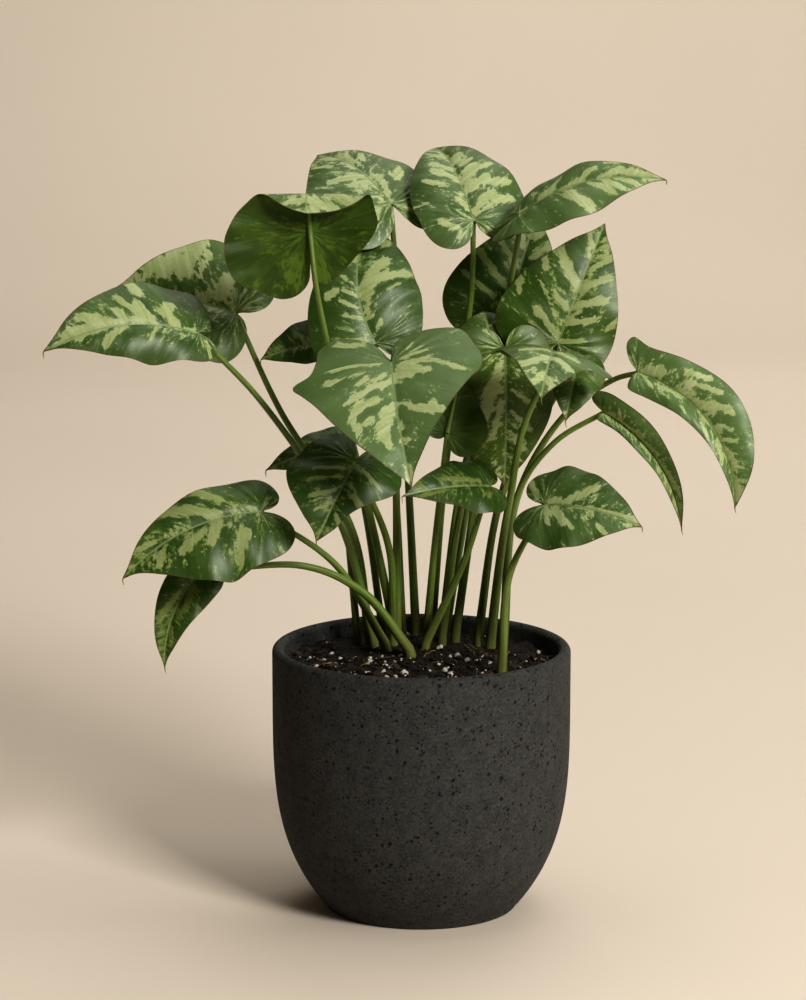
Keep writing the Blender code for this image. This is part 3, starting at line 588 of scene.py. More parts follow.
LEAVES = {
    "leaf_front_heart": Leaf(
        stalk=((-14, 33), (-14, 24, 200), (-15, -16, 285)), base=3,
        midrib=((-17, -62, 324), (-6, -112, 264)), face=(0.05, -0.78, 0.62), halves=(48, 54),
        lobes=(24, 26), rise=(9, -7), bow=7, sweep=-2, belly=3, droop=4, edges=FRONT_HEART_EDGES,
        fleck=0.2, tone_and_shade=0.08, clear_of_sheen=0,
        strokes=((6, 5, 5, 20, 2.2), (5, 18, 12, 29, 1.6), (11, 28, 17, 38, 1.2), (8, 4, 14, 19, 2.6),
            (12, 2, 13, 10, 2.6), (15, 1, 17, 3, 2), (-8, 9, -13, 13, 0.6), (0, 6, -3, 21, 1),
            (-3, 10, -8, 19, 0.6), (2, -6, 5, -33, 1), (13, -36, 13, -31, 1.8), (12, -30, 8, -10, 0.5),
            (16, -1, 19, -12, 2.6), (19, -11, 28, -25, 1.8), (12, -4, 17, -19, 1.2), (10, -3, 13, -16, 0.8),
            (28, -10, 33, -22, 2.2), (33, -22, 40, -25, 2), (40, -25, 46, -22, 2), (42, -18, 40, -15, 2.2),
            (33, -2, 37, -4, 2.4), (37, -5, 46, -8, 3.4), (46, -8, 51, -11, 3), (50, -8, 57, -7, 2.2),
            (31, 1, 34, 8, 1.3), (37, 8, 41, 19, 2.4), (38, 17, 42, 24, 2), (36, 20, 38, 18, 1.2),
            (45, 0, 47, 1, 1.4), (54, 0, 55, 2, 1.5), (70, 0, 79, 0, 2), (-17, -16, -18, -29, 2.5))),
    "leaf_upper_left_dark": Leaf(
        stalk=((-15, 42), (-30, 24, 225), (-53, -41, 336), (-58, -52, 365)),
        midrib=((-61, -48, 393), (-63, -55, 430)), face=(0, 1, 0.1), halves=(37, 47), lobes=(30, 36),
        rise=(-6, -6), bow=1, belly=2, droop=0, wave=1, roll=(411, 4), edges=ROLLED_EDGES, fleck=0.5,
        tone_and_shade=0.4, clear_of_sheen=0.3,
        strokes=((22, 10, 32, 30, 4), (30, 4, 36, 16, 3), (24, -14, 28, -30, 1.4), (30, -6, 35, -16, 1.4),
            (26, -2, 36, 6, 1.6))),
    "leaf_far_left": Leaf(
        stalk=((-27, 30), (-47, 18, 221), (-90, 0, 292)), midrib=((-124, -20, 334), (-208, -45, 327)),
        face=(0, -0.55, 0.83), halves=(19, 32), lobes=(12, 10), rise=(-6, 0), bow=10, sweep=-3, belly=3,
        droop=3, slim=(-0.4, 0), twist=-28, fleck=0.36, tone_and_shade=0.66, clear_of_sheen=0.3,
        strokes=((12, -1, 20, -8, 3), (18, -6, 17, -14, 2.5), (21, -9, 25, -9, 1.5), (27, -1, 24, 1, 1.5),
            (28, -3, 35, -9, 3.2), (33, -9, 34, -13, 2), (38, -3, 30, -2, 1.2), (37, -8, 45, -17, 1.4),
            (42, -3, 47, -9, 2), (44, -1, 57, -4, 1.5), (55, -3, 66, -9, 2.4), (44, 1, 57, 10, 2.2),
            (50, -1, 70, 2, 2), (62, -2, 75, -3, 2.2), (70, 0, 84, 0, 1.5), (2, 0, 10, -1, 1.2),
            (-4, 6, -8, 14, 1), (30, 11, 28, 8, 0.7), (34, -20, 36, -26, 3))),
    "leaf_far_left_behind": Leaf(
        stalk=((-30, 40), (-40, 35, 212), (-81, 30, 283)), midrib=((-105, 20, 340), (-176, 35, 351)),
        face=(0, -0.8, 0.6), halves=(33, 40), lobes=(10, 18), rise=(-4, 0), bow=5, belly=3, droop=3,
        slim=(0, -0.2), fleck=0.48, tone_and_shade=0.56, clear_of_sheen=0.6,
        strokes=((35, -15, 33, -36, 6), (45, -14, 43, -32, 6), (54, -12, 54, -25, 4),
            (26, -14, 24, -32, 1.5), (12, -8, 10, -18, 4), (24, -4, 20, -2, 2), (26, -1, 19, 1, 2))),
    "leaf_mid_left": Leaf(
        stalk=((-11, 50), (-14, 42, 220), (-18, 14, 290)), midrib=((-26, -20, 328), (-29, 16, 389)),
        face=(0.05, -0.87, 0.5), halves=(32, 35), lobes=(14, 14), rise=(-8, -4), bow=6, sweep=9, belly=3,
        droop=2, wave=1, edges=(HEART, ROUND_HALF), fleck=0.32, tone_and_shade=0.72, clear_of_sheen=0.2,
        strokes=((30, -1, 54, -16, 2.6), (34, -4, 46, -27, 3.2), (30, -2, 26, -4, 2.2), (50, 2, 60, -1, 2),
            (62, -1, 70, -2, 2), (66, -11, 67, -13, 2.4), (64, -5, 66, -4, 1.8), (30, -17, 35, -24, 1.2),
            (14, -4, 20, -3, 1.2), (8, -6, 11, -8, 1.6), (5, 22, 4, 8, 3.4), (16, 2, 20, 11, 0.9),
            (22, 2, 27, 10, 1), (29, 1, 33, 8, 0.9), (36, 2, 40, 8, 0.9), (30, 18, 33, 12, 1.8))),
    "leaf_top_left": Leaf(
        stalk=((-3, 51), (-8, 44, 250), (-16, 22, 384)), midrib=((-17, 17, 402), (-60, 74, 424)),
        face=(0.15, -0.45, 0.9), halves=(44, 34), lobes=(20, 20), rise=(-14, -4), bow=8, belly=3, droop=6,
        fleck=0.46, tone_and_shade=0.45, clear_of_sheen=0,
        strokes=((27, 3, 33, 20, 2.2), (8, -2, 22, -6, 2.6), (18, -14, 22, -20, 2.8), (38, 2, 50, -4, 2.2),
            (55, 0, 62, 6, 2.4), (48, 10, 55, 16, 1.8), (60, 14, 66, 20, 1.5), (42, -8, 50, -12, 1.6),
            (5, 12, 8, 34, 2), (0, 8, -6, 14, 1.5))),
    "leaf_top_centre": Leaf(
        stalk=((6, 43), (14, 34, 250), (28, 18, 350)), midrib=((29, 4, 394), (8, 66, 429)),
        face=(0, -0.5, 0.86), halves=(29, 33), lobes=(14, 14), rise=(-4, -2), bow=10, belly=3, droop=4,
        slim=(-0.2, 0), fleck=0.42, tone_and_shade=0.42, clear_of_sheen=0,
        strokes=((7, -3, 13, -14, 3.2), (10, -12, 9, -24, 2.6), (4, -3, 6, -12, 1.5),
            (20, -3, 26, -14, 2.2), (22, -12, 21, -26, 2), (26, -3, 36, -11, 3.2), (34, -10, 36, -20, 2),
            (45, -2, 52, -6, 2.5), (40, -6, 44, -12, 1.5), (55, 0, 62, 2, 2), (38, 2, 46, 11, 2.2),
            (30, 2, 38, 12, 2.6), (33, 20, 27, 11, 1.8), (56, 6, 52, 2, 1.5), (10, 2, 14, 5, 2),
            (3, 19, -4, 10, 1.8), (18, 30, 17, 22, 0.8))),
    "leaf_top_right": Leaf(
        stalk=((20, 38), (34, 36, 250), (49, 16, 350)), midrib=((54, -19, 400), (134, -32, 420)),
        face=(-0.2, -0.42, 0.88), halves=(19, 23), lobes=(20, 18), rise=(-4, 0), bow=11, belly=3, droop=1,
        slim=(0, -0.45), twist=32, fleck=0.38, tone_and_shade=0, clear_of_sheen=0,
        strokes=((1, 1, 5, 0, 1.5), (11, -2, 18, 2, 1.6), (20, 1, 29, 9, 1.3), (27, -1, 40, 1, 2),
            (39, 1, 48, 7, 1.5), (50, 0, 62, 4, 2), (54, 10, 64, 9, 1.2), (63, 3, 83, 0, 2),
            (69, 7, 82, 3, 1.2), (45, -3, 57, -13, 2.2), (54, -4, 66, -12, 2), (60, -2, 75, -8, 2),
            (33, -9, 43, -20, 3.2), (69, -6, 72, -12, 1.4))),
    "leaf_right_dark": Leaf(
        stalk=((14, 48), (30, 56, 240), (43, 58, 300)), midrib=((47, 44, 332), (67, 64, 392)),
        face=(0, -0.95, 0.25), halves=(38, 30), lobes=(14, 14), rise=(-3, -3), bow=5, belly=3, droop=0,
        fleck=0.32, tone_and_shade=0.72, clear_of_sheen=0.5,
        strokes=((20, 6, 34, 26, 2), (34, 4, 46, 18, 2), (44, 2, 54, 10, 1.5), (12, 10, 20, 30, 1.5),
            (40, -4, 52, -14, 2.4), (52, -2, 60, -8, 2), (28, -3, 40, -12, 1.4))),
    "leaf_right_bright": Leaf(
        stalk=((33, 42), (44, 36, 224), (64, 20, 290)), midrib=((76, -6, 326), (103, 17, 391)),
        face=(0, -0.93, 0.35), halves=(39, 29), lobes=(12, 14), rise=(-3, -3), bow=4, belly=2, droop=0,
        fleck=0.42, tone_and_shade=0.74, clear_of_sheen=1,
        strokes=((4, 2, 14, 18, 2), (14, 6, 30, 22, 1), (19, 1, 24, 10, 1.6), (33, 1, 50, 18, 2.6),
            (38, 22, 45, 26, 1.8), (2, -1, 6, -13, 1.5), (13, -2, 20, -15, 1.8), (23, -2, 32, -16, 1.9),
            (34, -2, 45, -14, 1.8), (45, -2, 58, -12, 1.5), (18, 30, 28, 34, 1.6), (18, -24, 30, -28, 1.2),
            (58, 2, 66, 6, 1.5), (64, -3, 70, -5, 1.3))),
    "leaf_right_saddle": Leaf(
        stalk=((40, 27), (45, 0, 205), (50, -20, 244), (56, -44, 285)), base=3.2,
        midrib=((73, -56, 329), (63, -108, 311)), face=(0, -0.33, 0.94), halves=(34, 36), lobes=(18, 18),
        rise=(-14, -4), bow=8, belly=4, droop=6, slim=(0.25, 0.25), fleck=0.36, tone_and_shade=0.38, clear_of_sheen=0.3,
        strokes=((12, 2, 22, 14, 2.2), (24, 1, 34, 12, 2.4), (12, -3, 22, -16, 2.4), (26, -2, 38, -14, 2.6),
            (42, -1, 50, -6, 2.2), (44, 1, 52, 5, 2))),
    "leaf_far_right": Leaf(
        stalk=((48, 42), (55, 28, 232), (80, 14, 281), (107, -4, 305)),
        midrib=((120, -20, 312), (173, -45, 240)), face=(-0.1, -0.85, 0.4), halves=(21, 12), lobes=(12, 2),
        rise=(3, 3), bow=7, sweep=15, belly=3, droop=2, edges=SHOULDERED_EDGES, fleck=0.5, tone_and_shade=0, clear_of_sheen=0,
        strokes=((3, 0, 14, 5, 1.7), (6, 3, 12, 8, 1.1), (4, -1, 12, -5, 1), (25, 12, 34, 16, 1.5),
            (34, 10, 43, 15, 1.4), (20, -2, 30, -2, 0.9), (27, 1, 36, 2, 1.2), (38, 2, 46, 6, 2),
            (45, 8, 52, 13, 1.6), (33, -6, 38, -7, 0.8), (46, -1, 58, 1, 1.3), (54, 3, 59, 8, 1.4),
            (62, 2, 66, 8, 1.2), (66, 1, 77, 3, 1.3), (52, -5, 58, -6, 1), (63, -2, 70, -3, 0.8),
            (80, 0, 88, 2, 1.2))),
    "leaf_right_small": Leaf(
        stalk=((33, 31), (46, 20, 234), (73, 6, 290)), base=2.4, midrib=((86, -26, 318), (79, -42, 288)),
        face=(0, -0.9, 0.4), halves=(17, 15), lobes=(8, 8), rise=(-3, -3), bow=3, belly=2, droop=1,
        wave=0.8, fleck=0.3, tone_and_shade=0.5, clear_of_sheen=0.8),
    "leaf_middle_back": Leaf(
        stalk=((12, 37), (21, 30, 230), (33, 14, 290)), base=2.6, midrib=((39, -1, 321), (35, 18, 341)),
        face=(0, -0.6, 0.8), halves=(24, 24), lobes=(10, 10), rise=(-6, -6), bow=5, belly=2, droop=2,
        wave=1, fleck=0.3, tone_and_shade=0.5, clear_of_sheen=0.8),
    "leaf_middle_hanging": Leaf(
        stalk=((12, 27), (21, 14, 220), (39, 2, 300)), midrib=((46, -16, 325), (47, 4, 243)),
        face=(0.1, -0.98, 0.1), halves=(26, 32), lobes=(12, 12), rise=(-2, -2), bow=6, belly=2, droop=3,
        slim=(-0.3, -0.35), fleck=0.36, tone_and_shade=0.58, clear_of_sheen=1,
        strokes=((10, -3, 30, -10, 3), (20, -8, 44, -14, 3.4), (32, -3, 52, -8, 2.4), (24, 4, 34, 16, 1.2),
            (36, 3, 48, 14, 1.2), (48, 2, 60, 10, 1))),
    "leaf_middle_dark": Leaf(
        stalk=((3, 23), (8, 0, 215)), base=2.6, midrib=((14, -30, 279), (21, -28, 311)),
        face=(0, 0.95, -0.2), halves=(22, 13), lobes=(11, 4), rise=(-2, -2), bow=2, belly=1, droop=0,
        wave=0.8, fleck=0.25, tone_and_shade=0.75, clear_of_sheen=0.8),
    "leaf_middle_low": Leaf(
        stalk=((2, 13), (24, 0, 200)), midrib=((38, -22, 248), (-11, -48, 247)), face=(0, -0.75, 0.66),
        halves=(18, 19), lobes=(9, 9), rise=(-2, -2), bow=4, belly=2, droop=1, fleck=0.36, tone_and_shade=1.4,
        clear_of_sheen=1,
        strokes=((6, -3, 30, -5, 1.2), (30, 2, 46, 3, 1.2))),
    "leaf_right_narrow": Leaf(
        stalk=((47, 33), (54, 18, 233), (75, 0, 269)), base=2.6, midrib=((102, -12, 288), (146, -16, 222)),
        face=(-0.3, -0.85, -0.1), halves=(14, 4), lobes=(10, 2), rise=(4, 4), bow=4, sweep=12, belly=2,
        droop=1, wave=1, fleck=0.6, tone_and_shade=0.1, clear_of_sheen=0.2,
        strokes=((8, 1, 22, 3, 0.9), (24, 1, 38, 4, 0.9), (40, 1, 54, 3, 1.2), (50, 3, 62, 4, 1.2),
            (66, 0, 78, 1, 1.4))),
    "leaf_low_right": Leaf(
        stalk=((45, -30), (49, -35, 200)), base=3, midrib=((68, -40, 241), (121, -60, 232)),
        face=(0.1, -0.75, 0.65), halves=(26, 27), lobes=(16, 16), rise=(0, -2), bow=6, belly=3, droop=2,
        slim=(0, -0.25), fleck=0.4, tone_and_shade=0.46, clear_of_sheen=0,
        strokes=((-6, 4, -18, 20, 1.8), (2, 2, 15, 2, 1.4), (15, 3, 28, 13, 2.2), (20, 0, 55, 2, 0.9),
            (3, -4, 8, -14, 1.4), (8, -3, 18, -14, 1.6), (14, -8, 24, -16, 1.4), (36, -10, 42, -14, 1.4))),
    "leaf_left_small": Leaf(
        stalk=((-22, 49), (-34, 40, 230)), base=2.4, midrib=((-58, 12, 324), (-91, 14, 314)),
        face=(0, -0.8, 0.5), halves=(11, 16), lobes=(8, 8), rise=(-2, -2), bow=3, belly=1, droop=1,
        wave=0.8, fleck=0.4, tone_and_shade=0.8, clear_of_sheen=0.8),
    "leaf_low_left_small": Leaf(
        stalk=((-37, 46), (-43, 51, 210)), base=2.4, midrib=((-47, 54, 259), (-90, 50, 244)),
        face=(0, -0.7, 0.7), halves=(15, 14), lobes=(8, 8), rise=(-2, -2), bow=3, belly=1, droop=1,
        wave=0.8, fleck=0.4, tone_and_shade=0.8, clear_of_sheen=0.8),
    "leaf_low_left_heart": Leaf(
        stalk=((-16, 24), (-18, 4, 205)), midrib=((-37, -50, 267), (-58, -70, 226)),
        face=(0.1, -0.85, 0.45), halves=(30, 27), lobes=(16, 14), rise=(-4, -4), bow=5, belly=3, droop=2,
        slim=(0.45, -0.55), fleck=0.34, tone_and_shade=0.84, clear_of_sheen=0.6,
        strokes=((8, -4, 14, -18, 1), (14, -4, 22, -18, 1), (22, -3, 30, -14, 1), (20, 8, 24, 14, 1.2),
            (34, 4, 38, 8, 1.2), (4, 6, 10, 20, 0.8), (30, -2, 36, -8, 0.8))),
    "leaf_low_left_large": Leaf(
        stalk=((-20, 16), (-49, -14, 202)), midrib=((-89, -40, 237), (-165, -60, 203)),
        face=(-0.1, -0.75, 0.66), halves=(31, 22), lobes=(17, 12), rise=(-4, -2), bow=7, sweep=-6, belly=3,
        droop=3, slim=(-0.5, -0.1), twist=-8, fleck=0.38, tone_and_shade=0.8, clear_of_sheen=1,
        strokes=((25, -2, 50, -16, 3.4), (22, -10, 30, -20, 2.8), (38, -22, 44, -25, 2.2),
            (25, 3, 34, 13, 2.8), (35, 5, 52, 11, 2.2), (12, 14, 20, 28, 3.4), (58, 2, 68, 10, 1.6),
            (62, -3, 74, -6, 1.5))),
    "leaf_low_left_narrow": Leaf(
        stalk=((-6, 2), (-33, -12, 185), (-66, -25, 203)), base=3.2,
        midrib=((-123, -25, 200), (-144, -35, 147)), face=(-0.2, -0.85, -0.3), halves=(15, 14),
        lobes=(8, 8), rise=(2, 2), bow=3, sweep=-6, belly=2, droop=1, wave=1, fleck=0.42, tone_and_shade=1.05,
        clear_of_sheen=0.8,
        strokes=((10, 2, 24, 5, 1.6), (20, -3, 34, -6, 1.6), (36, 1, 46, 3, 1.4))),
}


def smooth_path(points, steps):
    """Points along a smooth curve through the given points, evenly spaced."""
    knots = np.array(points, float)
    knots = np.vstack([2 * knots[0] - knots[1], knots, 2 * knots[-1] - knots[-2]])
    fine = []
    for k in range(1, len(knots) - 2):
        before, start, end, after = knots[k - 1:k + 3]
        steps_apart = np.diff(knots[k - 1:k + 3], axis=0)
        first, middle, last = (max(1e-6, np.linalg.norm(step)) ** 0.5 for step in steps_apart)
        leave = (start - before) / first - (end - before) / (first + middle) + (end - start) / middle
        arrive = (end - start) / middle - (after - start) / (middle + last) + (after - end) / last
        leave, arrive = leave * middle, arrive * middle
        for u in np.linspace(0, 1, PATH_SAMPLES)[k > 1:]:
            fine.append(
                (2 * u**3 - 3 * u**2 + 1) * start + (u**3 - 2 * u**2 + u) * leave
                + (3 * u**2 - 2 * u**3) * end + (u**3 - u**2) * arrive)
    fine = np.array(fine)
    walked = distances_along(fine)
    wanted = np.linspace(0, walked[-1], steps)
    return np.stack([np.interp(wanted, walked, fine[:, axis]) for axis in range(fine.shape[1])], axis=1)


def distances_along(points):
    """How far along a path each of its points lies."""
    return np.concatenate([[0.0], np.cumsum(np.linalg.norm(np.diff(points, axis=0), axis=1))])


def unit_rows(rows):
    return rows / np.linalg.norm(rows, axis=1, keepdims=True)


def rolled(points, height, radius):
    """Rolls the part of a blade above a height over towards the front."""
    over = np.maximum(0, points[:, 2] - height)
    angle = np.minimum(over / radius, MARGIN_ROLL)
    rest = over - angle * radius
    rise = radius * np.sin(angle) + rest * np.cos(angle)
    forward = radius * (1 - np.cos(angle)) + rest * np.sin(angle)
    return points + np.stack([0 * over, -forward, rise - over], axis=1)


class Blade:
    """One blade: its midrib's curve, and the points of its upper side."""

    def __init__(self, leaf):
        self.leaf = leaf
        joint, tip = np.array(leaf.midrib, float)
        along = unit(tip - joint)
        face = np.array(leaf.face, float)
        self.up = unit(face - face.dot(along) * along)
        self.left = np.cross(self.up, along)
        crest = (joint + tip) / 2 + 2 * leaf.bow * self.up + 2 * leaf.sweep * self.left
        u = np.linspace(0, 1, MIDRIB_SAMPLES)[:, None]
        self.points = (1 - u) ** 2 * joint + 2 * u * (1 - u) * crest + u**2 * tip
        self.runs = unit_rows(2 * (1 - u) * (crest - joint) + 2 * u * (tip - crest))
        self.walked = distances_along(self.points)
        self.length = self.walked[-1]

    def _between(self, rows, distances):
        return np.stack([np.interp(distances, self.walked, rows[:, axis]) for axis in range(3)], axis=1)

    def rib(self, distances):
        """Places on the midrib, or straight before it, and the running, left and up directions there."""
        inside = np.clip(distances, 0, self.length)
        places = self._between(self.points, inside)
        runs = unit_rows(self._between(self.runs, inside))
        ups = unit_rows(self.up - (runs @ self.up)[:, None] * runs)
        turns = np.radians(self.leaf.twist) * (distances / self.length)[:, None]
        ups = ups * np.cos(turns) + np.cross(runs, ups) * np.sin(turns)
        return places + runs * (distances - inside)[:, None], runs, np.cross(ups, runs), ups

    def lift(self, side, x, y, row, part):
        """How far the upper side stands over the midrib's plane."""
        leaf = self.leaf
        reach = y / leaf.halves[side]
        height = leaf.rise[side] * reach + leaf.belly * 4 * reach * (1 - reach)
        height += leaf.wave * reach**2 * np.sin(2 * math.pi * WAVES * x / self.length + WAVE_SHIFT * side)
        height -= leaf.droop * (np.minimum(x, 0) / leaf.lobes[side]) ** 2
        swell = np.sin(math.pi * row) ** 2 * np.sin(math.pi * np.clip(part, 0, 1) ** SWELL_PLACE)
        height += VEIN_RELIEF * (swell - 0.5 * np.sin(math.pi * part)) * min(1.0, self.length / SMALL_BLADE)
        fade = np.clip(x / GROOVE_FADES[0], 0, 1) * np.clip((self.length - x) / GROOVE_FADES[1], 0, 1)
        return height - MIDRIB_GROOVE * fade * np.exp(-((y / GROOVE_WIDTH) ** 2))

    def surface(self, side, x, y, row, part):
        """Points of the upper side, x along the midrib and y away from it. row counts the side veins."""
        places, runs, lefts, ups = self.rib(x)
        height = self.lift(side, x, y, row, part)
        points = places + lefts * (y * SIDES[side])[:, None] + ups * height[:, None]
        return rolled(points, *self.leaf.roll) if self.leaf.roll else points

    def outline(self, side):
        """Half of the blade's edge, as distance along the midrib and distance across it."""
        leaf = self.leaf
        corners = []
        for along, across in ((0, 0), *leaf.edges[side], (1, 0)):
            if along < 0:
                corners.append((along * leaf.lobes[side], across * leaf.halves[side]))
            else:
                slimmer = 1 - leaf.slim[side] * math.sin(math.pi * along**SLIM_PLACE)
                corners.append((along * self.length, across * leaf.halves[side] * slimmer))
        return smooth_path(corners, BLADE_ROWS + 1)


def stroke_strength(leaf, side, x, y):
    """How strongly the leaf's cream marks cover points of one half, from zero to about one."""
    here = np.stack([x, SIDES[side] * y], axis=1)
    strength = np.zeros(len(x))
    for start_x, start_y, end_x, end_y, width in leaf.strokes:
        start, run = np.array((start_x, start_y)), np.array((end_x - start_x, end_y - start_y))
        share = np.clip(((here - start) @ run) / (run @ run), 0, 1)
        away = np.linalg.norm(here - start - share[:, None] * run, axis=1)
        strength = np.maximum(strength, STROKE_HEART - STROKE_FADE * away / width)
    return strength


def grid_quads(side):
    """Point numbers of the quads in one half's grid, in the order that turns them up."""
    wide = BLADE_COLUMNS + 1
    base = (np.arange(BLADE_ROWS)[:, None] * wide + np.arange(BLADE_COLUMNS)).ravel()
    quads = np.stack([base, base + 1, base + wide + 1, base + wide], axis=1)
    return quads[:, ::-1] if side == 0 else quads


def half_quads(blade, side, roots, seed):
    """Corners of one half in quads: their points, and the vein, spot and cream that the finish reads."""
    leaf, edge = blade.leaf, blade.outline(side)
    part = np.tile(np.linspace(0, 1, BLADE_COLUMNS + 1), BLADE_ROWS + 1)
    by_row = (np.linspace(0, VEINS, BLADE_ROWS + 1), roots, edge[:, 0], np.maximum(0.0, edge[:, 1]))
    row, root, edge_x, edge_y = (np.repeat(values, BLADE_COLUMNS + 1) for values in by_row)
    x = root + (edge_x - root) * (part + VEIN_BEND * part * (part - 1))
    y = edge_y * part
    span = np.hypot(edge_x - root, edge_y)
    vein = np.stack([row + VEIN_APART * seed, SIDES[side] * span * part, 0 * row + seed], axis=1)
    spot = np.stack([x + SPOT_APART * seed, SIDES[side] * y, span * (1 - part)], axis=1)
    near = np.exp(-((y / (FLECK_REACH * leaf.halves[side])) ** 2))
    cream = np.maximum(stroke_strength(leaf, side, x, y), leaf.fleck * (FLECK_FAR + (1 - FLECK_FAR) * near))
    quads = grid_quads(side)
    return [values[quads] for values in (blade.surface(side, x, y, row, part), vein, spot, cream)]


def blade_sheet(blade, seed):
    """The upper side as a bmesh, joined along the midrib, where each side vein has its root."""
    edges = [blade.outline(side) for side in (0, 1)]
    ends = np.stack([edge[:, 0] - VEIN_SLOPE * np.maximum(0, edge[:, 1]) for edge in edges])
    roots = np.maximum(0.0, ends.mean(axis=0))
    halves = [half_quads(blade, side, roots, seed) for side in (0, 1)]
    quads, vein, spot, cream = (np.concatenate(pair) for pair in zip(*halves))
    mesh = mesh_from("sheet", quads.reshape(-1, 3), np.arange(quads.size // 3).reshape(-1, 4).tolist())
    for name, values in (("vein", vein), ("spot", spot), ("cream", cream), ("stem", 0 * vein)):
        kind, key = ("FLOAT", "value") if name == "cream" else ("FLOAT_VECTOR", "vector")
        mesh.attributes.new(name, kind, "CORNER").data.foreach_set(key, values.astype(np.float32).ravel())
    sheet = bmesh.new()
    sheet.from_mesh(mesh)
    bpy.data.meshes.remove(mesh)
    bmesh.ops.remove_doubles(sheet, verts=sheet.verts, dist=0.01 * MM)
    bmesh.ops.dissolve_degenerate(sheet, edges=sheet.edges, dist=0.01 * MM)
    sheet.normal_update()
    return sheet


def thicken(body):
    """Gives a blade's upper side an underside and an edge. The blade thins out towards its margin."""
    vectors = body.loops.layers.float_vector
    vein, spot, cream = vectors["vein"], vectors["spot"], body.loops.layers.float["cream"]
    tops = list(body.verts)
    margin = [edge.link_loops[0] for edge in body.edges if len(edge.link_faces) == 1]
    ends = [(loop.vert, loop.link_loop_next.vert) for loop in margin]
    copied = bmesh.ops.duplicate(body, geom=list(body.verts) + list(body.edges) + list(body.faces))
    below = copied["vert_map"]
    for vert in tops:
        inside = min(1.0, vert.link_loops[0][spot][2] / EDGE_WIDTH)
        thick = BLADE_THICKNESS * (EDGE_THIN + (1 - EDGE_THIN) * inside)
        below[vert].co = vert.co - vert.normal * thick * MM
    undersides = [face for face in copied["geom"] if isinstance(face, bmesh.types.BMFace)]
    for face in undersides:
        face.material_index = 1
    bmesh.ops.reverse_faces(body, faces=undersides)
    for (first, second), loop in zip(ends, margin):
        face = body.faces.new((second, first, below[first], below[second]))
        for corner, source in zip(face.loops, (loop.link_loop_next, loop, loop, loop.link_loop_next)):
            corner[vein], corner[spot], corner[cream] = source[vein], source[spot], source[cream]


def add_tube(body, points, radii, sides, start, seed):
    """Adds a stalk or a rib to a leaf's bmesh. start is its distance from the soil at its first point."""
    knots, faces = thread(points, radii, sides)
    stem = body.loops.layers.float_vector["stem"]
    walked = start + distances_along(np.array(points, float))
    walked = np.concatenate([np.repeat(walked, sides), [walked[0], walked[-1]]])
    verts = [body.verts.new(tuple(MM * c for c in knot)) for knot in knots]
    for corners in faces:
        face = body.faces.new([verts[index] for index in corners])
        face.material_index = 2
        wraps = max(corners) % sides == sides - 1 and min(corners) % sides == 0
        for loop, index in zip(face.loops, corners):
            turn = index % sides
            if wraps and turn == 0:
                turn = sides
            loop[stem] = (walked[index], turn / sides * STALK_PATTERN, seed)


def add_stalk(body, blade, seed):
    """The stalk, from inside the soil up to the joint."""
    leaf = blade.leaf
    (x, y), *bends = leaf.stalk
    foot = np.array([x, y, soil_height(x, y)])
    lean = unit(unit(bends[0] - foot) + np.array([0.0, 0.0, STALK_UPRIGHT]))
    places, runs, lefts, ups = blade.rib(np.array([0.0]))
    knee = places[0] - ups[0] * (STALK_END_RADIUS + STALK_TUCK)
    path = smooth_path([foot + lean * STALK_STRAIGHT, *bends, knee], STALK_STEPS)
    route = np.vstack([foot - lean * STALK_DEPTH / lean[2], foot, path])
    shrink = np.linspace(0, 1, len(route) - 1) ** STALK_TAPER
    radii = np.concatenate([[leaf.base], leaf.base + (STALK_END_RADIUS - leaf.base) * shrink])
    add_tube(body, route, radii, STALK_SIDES, -STALK_DEPTH, seed)


def add_rib(body, blade, seed):
    """The rib under the blade. On the rolled leaf it ends before the roll."""
    share = np.linspace(0.0, ROLLED_RIB_SHARE if blade.leaf.roll else RIB_SHARE, RIB_STEPS)
    places, runs, lefts, ups = blade.rib(share * blade.length)
    radii = STALK_END_RADIUS * (1 - share) ** RIB_TAPER * RIB_THICK + RIB_THIN
    sunk = MIDRIB_GROOVE + BLADE_THICKNESS + RIB_SUNK * radii
    add_tube(body, places - ups * sunk[:, None], radii, RIB_SIDES, RIB_FAR, seed)


def add_drip_tip(body, blade, seed):
    """The brownish thread at the end of the midrib, which bends down."""
    places, runs, lefts, ups = blade.rib(blade.length * np.array(DRIP_SHARES))
    under = places - ups * BLADE_THICKNESS / 2
    hang = under[-1] + runs[-1] * DRIP_GAP + np.outer(DRIP_FALL, (0.0, 0.0, -1.0))
    hang += np.outer(DRIP_DRIFT, lefts[-1])
    add_tube(body, np.vstack([under, hang]), DRIP_RADII, DRIP_SIDES, -STALK_DEPTH, seed)


def leaf_mesh(name, leaf, seed):
    """The whole leaf, with the darkness of its green, partly its own tone and partly painted shade, and how
    far it is clear of the greyish painted sheen stored on it.
    """
    blade = Blade(leaf)
    body = blade_sheet(blade, seed)
    thicken(body)
    add_stalk(body, blade, seed)
    add_rib(body, blade, seed)
    if not leaf.roll:
        add_drip_tip(body, blade, seed)
    mesh = bpy.data.meshes.new(name)
    body.to_mesh(mesh)
    body.free()
    for trait, value in (("tone_and_shade", leaf.tone_and_shade), ("clear_of_sheen", leaf.clear_of_sheen)):
        stored = mesh.attributes.new(trait, "FLOAT", "POINT")
        stored.data.foreach_set("value", [value] * len(mesh.vertices))
    return mesh


